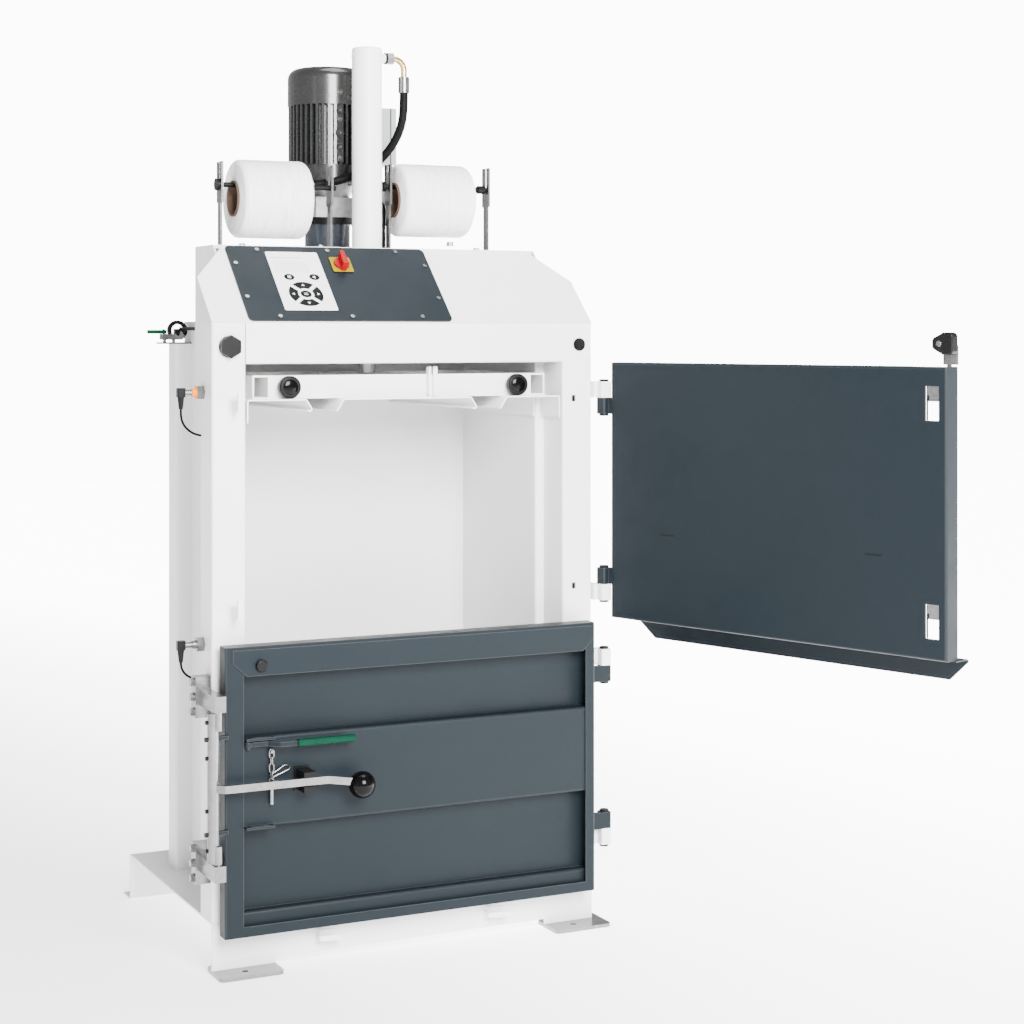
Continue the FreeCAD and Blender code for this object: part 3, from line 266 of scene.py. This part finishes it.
EDGE_LIGHT_GREY = 0.75                    # the grey that every edge turns towards, a painted highlight


def powder(name, colour, rough, edge_highlight, speck, gloss=0.4):
    """Powder coat: fine orange peel, faint cloudy tone, and a painted highlight that turns its
    edges paler.
    """
    made = Finish(name, colour, rough, Specular_IOR_Level=gloss)
    cloud = made.tones(made.noise(3.5, 5), (0.3, shade(colour, 0.955)), (0.7, shade(colour, 1.035)))
    grain = made.tones(made.noise(1400, 2), (0.35, shade(colour, 1 - speck)), (0.62, colour))
    tone = made.mix(made.span(made.noise(900, 1), 0.0, 0.35), cloud, grain)
    # Painted highlight: every edge turns towards a light grey, so the dark doors show bright edge
    # lines.
    highlighted_edge = tuple(c + (EDGE_LIGHT_GREY - c) * edge_highlight for c in colour)
    made.colour(made.mix(made.edges(0.0018), tone, highlighted_edge))
    made.rough(made.span(made.noise(14, 4), rough - 0.05, rough + 0.07))
    made.bump(made.noise(420, 2), 0.00006, 0.5)
    return made


def galvanised(name, colour, rough):
    """Bright zinc plating: fine brushing, faint spangle and stains."""
    made = Finish(name, colour, rough, 0.9)
    brushed = (40, 40, 400)
    spangle = made.tones(made.cells(85), (0.0, shade(colour, 0.86)), (1.0, shade(colour, 1.1)))
    stain = made.span(made.noise(22, 6), 0.0, 0.30, 0.45, 0.75)
    made.colour(made.mix(stain, spangle, shade(colour, 0.72)))
    made.rough(made.span(made.noise(1, 4, brushed), rough - 0.03, rough + 0.05))
    made.bump(made.noise(1, 3, brushed), 0.000005, 0.5)
    made.bump(made.noise(260, 3), 0.000006, 0.3)
    return made


def cast(name, colour, rough):
    """Sand-cast metal with a grainy skin."""
    made = Finish(name, colour, rough, 0.85)
    made.colour(made.tones(made.noise(60, 5),
                           (0.3, shade(colour, 0.74)), (0.7, shade(colour, 1.12))))
    made.rough(made.span(made.noise(90, 3), rough - 0.1, rough + 0.14))
    made.bump(made.noise(520, 3), 0.00022, 0.6)
    return made


def enamel(name, colour, rough):
    """Thick gloss paint over a casting, with dust in random patches."""
    made = Finish(name, colour, rough, Coat_Weight=0.4, Coat_Roughness=0.12)
    dust = made.span(made.noise(26, 6), 0.0, 0.03, 0.52, 0.78)
    base = made.tones(made.noise(9, 4), (0.3, shade(colour, 0.94)), (0.7, shade(colour, 1.06)))
    made.colour(made.mix(dust, base, (0.06, 0.06, 0.058)))
    made.rough(made.span(made.noise(40, 4), rough - 0.02, rough + 0.04))
    made.bump(made.noise(160, 3), 0.00001, 0.6)
    return made


def plastic(name, colour, rough, grain=900, depth=0.00004, variation=0.08, gloss=0.14):
    """Moulded plastic or rubber with a fine spark-eroded grain."""
    made = Finish(name, colour, rough, Specular_IOR_Level=gloss)
    made.colour(made.tones(made.noise(35, 4), (0.3, shade(colour, 1 - variation)),
                           (0.7, shade(colour, 1 + variation))))
    made.rough(made.span(made.noise(60, 4), rough - 0.05, rough + 0.08))
    made.bump(made.noise(grain, 2), depth, 0.6)
    return made


def woven_strap(name, colour):
    """Polyester strap in wound layers: fine warp threads that run round the reel."""
    made = Finish(name, colour, 0.42, Sheen_Weight=0.25, Sheen_Roughness=0.4)
    threads = made.noise(1, 2, (1500, 25, 25))
    layers = made.noise(1, 3, (240, 10, 10))
    tone = made.tones(layers,
                      (0.3, shade(colour, 0.66)), (0.48, colour), (0.7, shade(colour, 0.84)))
    made.colour(made.mix(made.span(threads, 0.0, 0.45), tone, shade(colour, 0.86)))
    made.rough(made.span(threads, 0.34, 0.55))
    made.bump(threads, 0.00012, 0.5)
    made.bump(layers, 0.00040, 0.5)
    return made


def paper_tube(name, colour):
    """Spiral-wound grey-brown paper tube."""
    made = Finish(name, colour, 0.85)
    fibres = made.noise(1, 5, (300, 60, 60))
    made.colour(made.tones(fibres, (0.25, shade(colour, 0.72)), (0.75, shade(colour, 1.2))))
    made.rough(made.span(fibres, 0.75, 0.92))
    made.bump(fibres, 0.0002, 0.6)
    return made


def plated(name, colour, rough=0.16):
    """Hard chrome or polished plating with hairline scratches."""
    made = Finish(name, colour, rough, 1.0)
    hairs = made.noise(1, 4, (900, 900, 30))
    made.colour(made.tones(made.noise(18, 4),
                           (0.3, shade(colour, 0.92)), (0.7, shade(colour, 1.05))))
    made.rough(made.span(hairs, rough - 0.06, rough + 0.1))
    made.bump(hairs, 0.00002, 0.4)
    return made


WHITE = (0.80, 0.80, 0.795)
DOOR = (0.0071, 0.0110, 0.0142)
PAINT = {
    "white_paint": powder("white_paint", WHITE, 0.36, 0.2, 0.05),
    "door_paint": powder("door_paint", DOOR, 0.42, 0.06, 0.20, 0.12),
    "zinc": galvanised("zinc", (0.20, 0.20, 0.198), 0.22),
    "aluminium": cast("aluminium", (0.36, 0.36, 0.37), 0.48),
    "motor_paint": enamel("motor_paint", (0.011, 0.0112, 0.0115), 0.26),
    "tank_paint": enamel("tank_paint", (0.012, 0.018, 0.026), 0.24),
    "box_grey": enamel("box_grey", (0.34, 0.35, 0.35), 0.4),
    "black_plastic": plastic("black_plastic", (0.004, 0.004, 0.0043), 0.36),
    "gloss_black": plastic("gloss_black", (0.0016, 0.0015, 0.0015), 0.13, 60, 0.00001, gloss=0.12),
    "green_plastic": plastic("green_plastic", (0.0, 0.027, 0.014), 0.30, gloss=0.08),
    "dark_green": plastic("dark_green", (0.0, 0.040, 0.012), 0.34, gloss=0.08),
    "yellow": plastic("yellow", (0.22, 0.165, 0.0), 0.35, variation=0.04, gloss=0.04),
    "red": plastic("red", (0.24, 0.003, 0.006), 0.28, variation=0.06, gloss=0.10),
    "foil": plastic("foil", (0.80, 0.80, 0.79), 0.33, 1200, 0.00002, 0.02, 0.4),
    "strap": woven_strap("strap", (0.88, 0.875, 0.865)),
    "core": paper_tube("core", (0.100, 0.058, 0.038)),
    "hose": plastic("hose", (0.002, 0.002, 0.0022), 0.5, 700, 0.00008, gloss=0.07),
    "chromed": plated("chromed", (0.75, 0.75, 0.76)),
}
BRASS = plated("yellow_zinc", (0.62, 0.42, 0.18), 0.26)
# Painted shade: a black for sheets that stand in for the shadowed insides of slits and slots.
SHADE_BLACK = plastic("shadow_black", (0.004, 0.004, 0.004), 0.7)
LENS_GREY = plastic("display_grey", (0.70, 0.71, 0.71), 0.2, 1200, 0.00001, 0.02)
LINE_GREY = plastic("line_grey", (0.30, 0.30, 0.31), 0.3, 1200, 0.00001, 0.02)
KEY_GREY = plastic("key_grey", (0.005, 0.0055, 0.006), 0.45, 900, 0.00001, gloss=0.05)
GLOW = plastic("amber_light", (0.60, 0.16, 0.0), 0.3)
GLOW.shader.inputs["Emission Color"].default_value = (1.0, 0.34, 0.01, 1)
GLOW.shader.inputs["Emission Strength"].default_value = 0.7


def paint(piece, finish):
    """Gives a piece one finish on every face."""
    piece.data.materials.clear()
    piece.data.materials.append(finish.material)


def paint_nodes():
    """Gives every CAD node and cord the finish of its slot in the record."""
    for part in frame["record"]["subparts"]:
        paint(NODES[part["node"]], PAINT[part["material_slot"]])
    for cord in CORDS:
        paint(cord, PAINT["hose"])


paint_nodes()


# ---- detail pieces ----
def repaint(node, finish, chosen):
    """Gives another finish to the faces of a CAD node whose centre passes the test."""
    mesh = NODES[node].data
    index = len(mesh.materials)
    mesh.materials.append(finish.material)
    for face in mesh.polygons:
        if chosen(face.center, face.normal):
            face.material_index = index


def new_piece(name, form, body, slot, finish=None, crease=35):
    """A mesh piece on a body, sharp where its faces meet at more than crease degrees."""
    bmesh.ops.recalc_face_normals(form, faces=form.faces)
    mesh = bpy.data.meshes.new(name)
    form.to_mesh(mesh)
    form.free()
    mesh.shade_smooth()
    mesh.set_sharp_from_angle(angle=math.radians(crease))
    piece = bpy.data.objects.new(name, mesh)
    bpy.context.scene.collection.objects.link(piece)
    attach(piece, body)
    paint(piece, finish or PAINT[slot])
    return piece


def skin(form, rings, closed=False):
    """Faces between neighbouring rings of points; a ring may be a single point."""
    count = max(len(ring) for ring in rings)
    for low, high in zip(rings, rings[1:] + (rings[:1] if closed else [])):
        for k in range(count):
            n = (k + 1) % count
            corners = dict.fromkeys((
                low[k % len(low)], low[n % len(low)], high[n % len(high)], high[k % len(high)],
            ))
            if len(corners) > 2:
                form.faces.new(corners)


def turned(form, profile, centre, along, segments=32, closed=False, wander=None):
    """Revolves (along, radius) steps in mm about an axis; a ring of radius 0 is a point."""
    along = Vector(along).normalized()
    side = along.orthogonal().normalized()
    other = along.cross(side)
    rings = []
    for step, radius in profile:
        at = Vector(centre) + along * (step * MM)
        if radius < 1e-6:
            rings.append([form.verts.new(at)])
            continue
        ring = []
        for k in range(segments):
            angle = 2 * math.pi * k / segments
            reach = (radius - (wander(step, radius, angle) if wander else 0)) * MM
            point = at + side * (math.cos(angle) * reach) + other * (math.sin(angle) * reach)
            ring.append(form.verts.new(point))
        rings.append(ring)
    skin(form, rings, closed)


def prism(form, outline, depth):
    """A flat outline of points pushed out along a vector."""
    low = [form.verts.new(p) for p in outline]
    high = [form.verts.new(Vector(p) + depth) for p in outline]
    form.faces.new(low[::-1])
    form.faces.new(high)
    for k in range(len(low)):
        n = (k + 1) % len(low)
        form.faces.new((low[k], low[n], high[n], high[k]))


def rectangle(left, right, low, high):
    return [(left, low), (right, low), (right, high), (left, high)]


# ---- places on the machine, in mm ----
FRAME_FRONT = 330              # from the frame's front face back to the origin
SLOPE_FOOT = 1409              # height where the sloped panel starts, in the front face
SLOPE = math.atan2(176, 185)   # its rise over its run
HINGE_X, HINGE_Y = 488, -18    # the upper door's hinge pins
SWING = 108.4                  # degrees that the upper door stands open at rest
HOOD_TOP = 1585
BEAM_Z = 1266                  # middle of the press beams
MOTOR_X, MOTOR_Y = -28, 450
TUBE_X, TUBE_R = -485.5, 12.6  # the latch lever's tube


def front(x, y, z):
    """A point in metres, from mm measured at the frame's front face."""
    return Vector((x, y - FRAME_FRONT, z)) * MM


def on_slope(x, up, out):
    """A point on the sloped panel: across, up the slope and out of it, in mm."""
    y = up * math.cos(SLOPE) - out * math.sin(SLOPE)
    return front(x, y, SLOPE_FOOT + up * math.sin(SLOPE) + out * math.cos(SLOPE))


SLOPE_OUT = on_slope(0, 0, 1) - on_slope(0, 0, 0)
UPPER_SWING = Matrix.Rotation(math.radians(SWING), 4, "Z")


def on_open_door(x, y, z):
    """A point given on the shut upper door, where it stands open."""
    hinge = front(HINGE_X, HINGE_Y, 0)
    return hinge + UPPER_SWING @ (front(x, y, z) - hinge)


# 1 mm through the open door, from its outer face inwards.
INWARD = on_open_door(0, 1, 0) - on_open_door(0, 0, 0)


# ---- keypad print ----
FOIL_TOP = 4.2                 # mm above the slope
INK = 0.18                     # mm, how far the print stands out


def arc(x, up, radius, start, end, steps=12, stretch=1.0):
    """Points along an arc on the slope, degrees from +X."""
    turns = [math.radians(start + (end - start) * k / steps) for k in range(steps + 1)]
    return [(x + radius * math.cos(t), up + radius * stretch * math.sin(t)) for t in turns]


def print_foil(name, outlines, finish, lift=0.0):
    """Raised print on the foil, from outlines in mm across and up the slope."""
    form = bmesh.new()
    for outline in outlines:
        prism(form, [on_slope(x, up, FOIL_TOP + lift) for x, up in outline], SLOPE_OUT * INK)
    new_piece(name, form, "root", "foil", finish)


def make_keypad():
    """A window, a line, two round keys, and a ring of four keys about a fifth, with plain signs."""
    print_foil("keypad_window", [rectangle(-279, -198, 159, 198)], LENS_GREY)
    print_foil("keypad_line", [rectangle(-281, -207, 209, 211)], LINE_GREY)
    keys = [arc(x, up, 12.5, 0, 345, 23, 0.82) for x, up in ((-252, 145), (-192, 145.5))]
    middle = (-226.7, 88.7)
    keys.append(arc(*middle, 13, 0, 345, 23, 0.88))
    signs = []
    for turn in (0, 90, 180, 270):
        outer = arc(*middle, 40, turn - 39, turn + 39)
        inner = arc(*middle, 18.5, turn + 31, turn - 31, 8)
        keys.append(outer + inner)
        out = Vector((math.cos(math.radians(turn)), math.sin(math.radians(turn))))
        across = Vector((-out.y, out.x)) * 3.6
        tip, base = Vector(middle) + out * 33, Vector(middle) + out * 27
        signs.append([tuple(tip), tuple(base + across), tuple(base - across)])
    signs += [rectangle(-256, -248, up, up + 1.6) for up in (141.5, 144.5, 147.5)]
    signs.append([(-197, 145.5), (-190, 141), (-190, 150)])
    signs += [rectangle(-231, -222, up, up + 1.2) for up in (86, 90.5)]
    print_foil("keypad_keys", keys, KEY_GREY)
    print_foil("keypad_signs", signs, PAINT["foil"], INK)


# ---- strap reels ----
CORE_R = 42.3                  # mm, just outside the paper core
SHOULDER = 13.0                # mm, rounding of the winding's two rims
LANES = 70                     # steps across the winding's width


def make_reel(side, radius):
    """Wound strap: ringed end faces, round shoulders, and a shallow groove at each fifth lane."""
    node = side + "_reel"
    low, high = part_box(node)
    width = (high.x - low.x) / MM
    near_end = []
    for k in range(31):
        r = CORE_R + (radius - SHOULDER - CORE_R) * k / 30
        near_end.append((0.8 + 0.8 * math.sin(k * 2.1), r))
    for k in range(1, 8):
        t = math.radians(90 * k / 8)
        near_end.append((SHOULDER * (1 - math.cos(t)), radius - SHOULDER + SHOULDER * math.sin(t)))
    wound = []
    for k in range(LANES + 1):
        groove = 0.5 if k % 5 == 0 else 0.0
        wound.append((SHOULDER + (width - 2 * SHOULDER) * k / LANES, radius - groove))
    far_end = [(width - step, r) for step, r in near_end[::-1]]

    def wander(step, r, angle):
        if r < radius - SHOULDER:
            return 0
        return 0.35 + 0.35 * math.sin(step * 0.61 + 2 * angle) * math.cos(step * 0.23 - angle)

    form = bmesh.new()
    centre = (low.x, (low.y + high.y) / 2, (low.z + high.z) / 2)
    turned(form, near_end + wound + far_end, centre, (1, 0, 0), 128, True, wander)
    reel = new_piece(side + "_strap_winding", form, side + "_strap_reel", "strap", crease=50)
    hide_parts(node)


# ---- small fittings ----
WASHER = 1.4                   # mm thick
UP, DOWN = (0, 0, 1), (0, 0, -1)
TO_FRONT, TO_LEFT, TO_RIGHT = (0, -1, 0), (-1, 0, 0), (1, 0, 0)


def bolt_head(form, place, along, across, height, washer=0.0):
    """A hexagon head with a chamfered crown, on a washer of that radius if it has one."""
    if washer:
        turned(form, [(0, 0), (0, washer), (WASHER, washer), (WASHER, 0)], place, along, 24)
    r = across / math.sqrt(3)
    turned(form, [(0, 0), (0, r), (height - 1, r), (height, r * 0.82), (height, 0)],
           Vector(place) + Vector(along).normalized() * ((WASHER if washer else 0) * MM), along, 6)


def make_power_pack_fittings():
    """Bolts on the roof, the motor's bosses and flange, and the terminal box's seal and screws."""
    motor = front(MOTOR_X, MOTOR_Y, 0)
    boss_x = -0.004            # metres left of the motor's axis
    bolts = bmesh.new()
    for x, y in ((106, 17), (300, 290), (-300, 290), (-106, 290)):
        bolt_head(bolts, front(x, y, HOOD_TOP), UP, 13, 8, 10)
    for z in (1966, 1923, 1901, 1868, 1834, 1807):
        reach = 97.0 if z > 1938 else 95.0     # the fan cover is wider than the motor
        bolt_head(bolts, motor + Vector((boss_x, -reach * MM, z * MM)), TO_FRONT, 7, 4, 6)
    for turn in range(0, 360, 45):             # under the motor's flange
        t = math.radians(turn + 20)
        place = motor + Vector((math.cos(t) * 84 * MM, math.sin(t) * 84 * MM, 1.748))
        bolt_head(bolts, place, DOWN, 10, 6)
    new_piece("roof_bolts", bolts, "root", "zinc")

    bosses = bmesh.new()
    for z, radius in ((1923, 9), (1868, 11), (1834, 9)):
        turned(bosses, [(0, 0), (0, radius), (3, radius - 1), (3, 0)],
               motor + Vector((boss_x, -96 * MM, z * MM)), TO_FRONT, 24)
    strip = [front(MOTOR_X + dx, MOTOR_Y - 93, z) for dx, z in rectangle(-11, 5, 1797, 1936)]
    prism(bosses, strip, Vector((0, -3 * MM, 0)))
    new_piece("motor_bosses", bosses, "root", "motor_paint")

    low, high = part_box("terminal_box")
    proud = 0.0008
    gasket = bmesh.new()
    outline = rectangle(low.y - proud, high.y + proud, 1.8005, 1.9388)
    prism(gasket, [Vector((high.x - 0.016, y, z)) for y, z in outline], Vector((0.0025, 0, 0)))
    new_piece("terminal_gasket", gasket, "root", "black_plastic")
    screws = bmesh.new()
    for y in (low.y + 0.010, high.y - 0.010):
        for z in (1.812, 1.927):
            turned(screws, [(0, 0), (0, 4.5), (2, 4.5), (2.8, 3), (2.8, 0)],
                   (high.x, y, z), TO_RIGHT, 20)
    new_piece("terminal_screws", screws, "root", "zinc")

    seal = bmesh.new()
    turned(seal, [(0, 9), (0, 13.5), (4, 13.5), (4, 9)], front(45, 261, 2040), TO_RIGHT, 32, True)
    new_piece("port_seal", seal, "root", "black_plastic")


def make_lever_and_press_fittings():
    """Bolts on the latch lever's tube, and the press bumpers' domes and washers."""
    bolts = bmesh.new()
    for z in (560, 484, 372, 288):
        bolt_head(bolts, front(TUBE_X - TUBE_R, -73, z), TO_LEFT, 9, 5)
    new_piece("tube_bolts", bolts, "door_lever", "black_plastic")

    domes = bmesh.new()
    washers = bmesh.new()
    for x in (-280, 280):
        turned(domes, [(0, 0), (0, 17), (1.6, 14), (2.6, 8), (3.0, 0)],
               front(x, 14, BEAM_Z), TO_FRONT, 32)
        turned(washers, [(0, 13.8), (0, 21), (2, 21), (2, 13.8)],
               front(x, 38, BEAM_Z), TO_FRONT, 32, True)
    new_piece("bumper_domes", domes, "press", "gloss_black")
    new_piece("bumper_washers", washers, "press", "zinc")


def make_upper_door_fittings():
    """The knob's screw, painted shade in the door's slits, its bar's catches, and painted shade in
    the posts' slots.
    """
    screw = bmesh.new()
    turned(screw, [(0, 0), (0, 5.2), (1.2, 6.2), (1.8, 5.4), (1.8, 3.0), (0.9, 2.6), (0.9, 0)],
           on_open_door(-433, -28, 1364), INWARD, 32)
    new_piece("knob_screw", screw, "upper_door", "zinc")

    # Painted shade: thin black sheets inside the door's slits and beside the latch bar in its
    # slots.
    slit_shade = bmesh.new()
    for x in (293, -277):
        outline = [on_open_door(x + dx, -20, 923 + dz) for dx, dz in rectangle(-21, 21, -1.6, 1.6)]
        prism(slit_shade, outline, INWARD * 0.25)
    for top in (1277, 832):
        strip = rectangle(-409.4, -406.2, top - 70, top)
        prism(slit_shade, [on_open_door(x, -24, z) for x, z in strip], INWARD * -1.5)
    new_piece("door_slit_shade", slit_shade, "upper_door", "black_plastic", SHADE_BLACK)

    catches = bmesh.new()
    for middle in (1242, 797):
        tab = rectangle(-437, -408, middle + 16, middle + 36)
        prism(catches, [on_open_door(x, -23.2, z) for x, z in tab], INWARD * -0.7)
    new_piece("latch_catches", catches, "door_latch_bar", "zinc")

    # Painted shade: black plates behind the posts' slots, where their insides are in shadow.
    slot_shade = bmesh.new()
    for z in (1233, 793):
        outline = [front(417 + dx, 4.6, z + dz) for dx, dz in rectangle(-7, 7, -10, 10)]
        prism(slot_shade, outline, Vector((0, 0.8 * MM, 0)))
    new_piece("post_slot_shade", slot_shade, "root", "black_plastic", SHADE_BLACK)


def make_snap_hook():
    """A pear-shaped wire hook through a link of the pin's chain."""
    slant = math.radians(25)   # its rise to the right, and its twist out of the door's plane
    wire, sides, bends = 1.6, 12, 12
    along = Vector((math.cos(slant), 0, math.sin(slant)))
    flat = Vector((0, 1, 0)).cross(along)
    across = Vector((0, 1, 0)) * math.cos(slant) - flat * math.sin(slant)
    normal = along.cross(across)
    small_end = Vector((-0.352, -0.399, 0.4335))
    large_end = small_end + along * 0.034
    path = []
    for centre, radius, start in ((small_end, 5.0, 90), (large_end, 8.5, 270)):
        for k in range(bends + 1):
            t = math.radians(start + 180 * k / bends)
            path.append(centre + (along * math.cos(t) + across * math.sin(t)) * (radius * MM))
    form = bmesh.new()
    turns = [2 * math.pi * n / sides for n in range(sides)]
    rings = []
    for k, at in enumerate(path):
        side = (path[(k + 1) % len(path)] - path[k - 1]).normalized().cross(normal)
        around = [(side * math.cos(t) + normal * math.sin(t)) * (wire * MM) for t in turns]
        rings.append([form.verts.new(at + step) for step in around])
    skin(form, rings, closed=True)
    new_piece("snap_hook", form, "lower_door", "zinc", crease=60)


# ---- second finishes on CAD nodes ----
CAMS = (0.524, 0.322)          # heights of the latch lever's two cams, in metres
CAM_HALF = 0.0065              # half a cam's thickness and a little more


def on_cam(centre):
    return centre.x > -0.472 and min(abs(centre.z - z) for z in CAMS) < CAM_HALF


def repaint_nodes():
    """Each test picks one part of a node, by where its faces' centres are in metres."""
    black = PAINT["black_plastic"]
    spigot = front(0, 32.1, 0).y
    slope = SLOPE_OUT.normalized()
    # The header's corner bolt and plug, but not the bolts on the post's side.
    repaint("frame_bolts", black, lambda c, n: c.x > -0.455)
    # The upper sensor's lit ring.
    repaint("door_sensors", GLOW, lambda c, n: -0.4915 < c.x < -0.4805 and c.z > 1)
    # The cams, and the ends of their pins.
    repaint("latch_lever", PAINT["door_paint"], lambda c, n: on_cam(c))
    repaint("latch_lever", black, lambda c, n: c.x < -0.4988)
    # The bent pipe between the nut and the hose's ferrule.
    repaint("port_elbow", BRASS, lambda c, n: c.z > 1.9985 and c.x > 0.0665)
    # The ring on top of the tank.
    repaint("oil_tank", black, lambda c, n: 1.65 < c.z < 1.668)
    # The rigid return line.
    repaint("pump_block", PAINT["hose"], lambda c, n: c.x > 0.030)
    # The switch plate's edges.
    repaint("switch_plate", black, lambda c, n: n.dot(slope) < 0.9)
    # The spigots behind the rubber.
    repaint("press_bumpers", PAINT["zinc"], lambda c, n: c.y > spigot)
    # The clamp's hook and bar.
    repaint("clamp_bracket", black, lambda c, n: c.z > 1.3835 or c.y < 0.12)


make_keypad()
make_reel("left", 91.5)
make_reel("right", 88.0)
make_power_pack_fittings()
make_lever_and_press_fittings()
make_upper_door_fittings()
make_snap_hook()
repaint_nodes()


# ---- stage ----
DIM, BRIGHT = 1.5, 12.0        # the floor's glow near the object, and the backdrop's own white


def make_stage():
    """A white floor that glows more to the right and far away, where it meets the backdrop."""
    reach = 14.0
    floor_z = CAD_BOX[0].z - 0.0005
    form = bmesh.new()
    form.faces.new([form.verts.new((x * reach, y * reach, floor_z))
                    for x, y in rectangle(-1, 1, -1, 1)])
    mesh = bpy.data.meshes.new("floor")
    form.to_mesh(mesh)
    form.free()
    floor = bpy.data.objects.new("floor", mesh)
    bpy.context.scene.collection.objects.link(floor)
    finish = Finish("studio_floor", (0.90, 0.90, 0.90), 0.75)
    finish.colour(finish.tones(finish.noise(0.6, 3),
                               (0.3, (0.90, 0.90, 0.90)), (0.7, (0.92, 0.92, 0.92))))
    finish.shader.inputs["Emission Color"].default_value = (1, 1, 1, 1)
    rightward = finish.node("ShaderNodeVectorMath", operation="DOT_PRODUCT")
    rightward.inputs[1].default_value = (0.95, 0.30, 0)
    apart = finish.node("ShaderNodeVectorMath", operation="LENGTH")
    glow = finish.node("ShaderNodeMath", operation="MAXIMUM")
    ramps = ((rightward, -0.5, 2.8), (apart, 10.0, 13.5))     # metres where each starts and ends
    for number, (measure, start, end) in enumerate(ramps):
        finish.link(finish.place, measure.inputs[0])
        share = finish.span(measure.outputs["Value"], DIM, BRIGHT, start, end)
        finish.link(share, glow.inputs[number])
    finish.link(glow.outputs["Value"], finish.shader.inputs["Emission Strength"])
    paint(floor, finish)


def make_world():
    """The camera sees a white backdrop; a dimmer sky, darker overhead, lights the object."""
    world = bpy.data.worlds.new("studio")
    bpy.context.scene.world = world
    world.use_nodes = True
    nodes, links = world.node_tree.nodes, world.node_tree.links
    way = nodes.new("ShaderNodeTexCoord").outputs["Generated"]
    parts = nodes.new("ShaderNodeSeparateXYZ")
    links.new(way, parts.inputs[0])
    height = nodes.new("ShaderNodeMapRange")
    for socket, value in (("From Min", 0.0), ("From Max", 1.0), ("To Min", 0.9), ("To Max", 0.45)):
        height.inputs[socket].default_value = value
    links.new(parts.outputs["Z"], height.inputs["Value"])
    seen = nodes.new("ShaderNodeLightPath").outputs["Is Camera Ray"]
    choice = nodes.new("ShaderNodeMix")
    choice.inputs["B"].default_value = BRIGHT
    links.new(seen, choice.inputs["Factor"])
    links.new(height.outputs["Result"], choice.inputs["A"])
    backdrop = nodes["Background"]
    backdrop.inputs["Color"].default_value = (1.0, 1.0, 1.0, 1)
    links.new(choice.outputs["Result"], backdrop.inputs["Strength"])


def area_light(name, place, size, power):
    """A soft box aimed at the middle of the machine."""
    data = bpy.data.lights.new(name, "AREA")
    data.shape = "RECTANGLE"
    data.size, data.size_y = size
    data.energy = power
    light = bpy.data.objects.new(name, data)
    bpy.context.scene.collection.objects.link(light)
    light.location = place
    aim = Vector((0.0, 0.0, 1.0)) - Vector(place)
    light.rotation_euler = aim.to_track_quat("-Z", "Y").to_euler()


make_stage()
make_world()
area_light("key", (-0.3, -4.8, 3.0), (2.2, 2.2), 1000)
area_light("left", (-4.4, -2.6, 1.6), (0.7, 2.6), 8)
area_light("top", (0.4, -0.6, 4.8), (2.0, 2.0), 110)
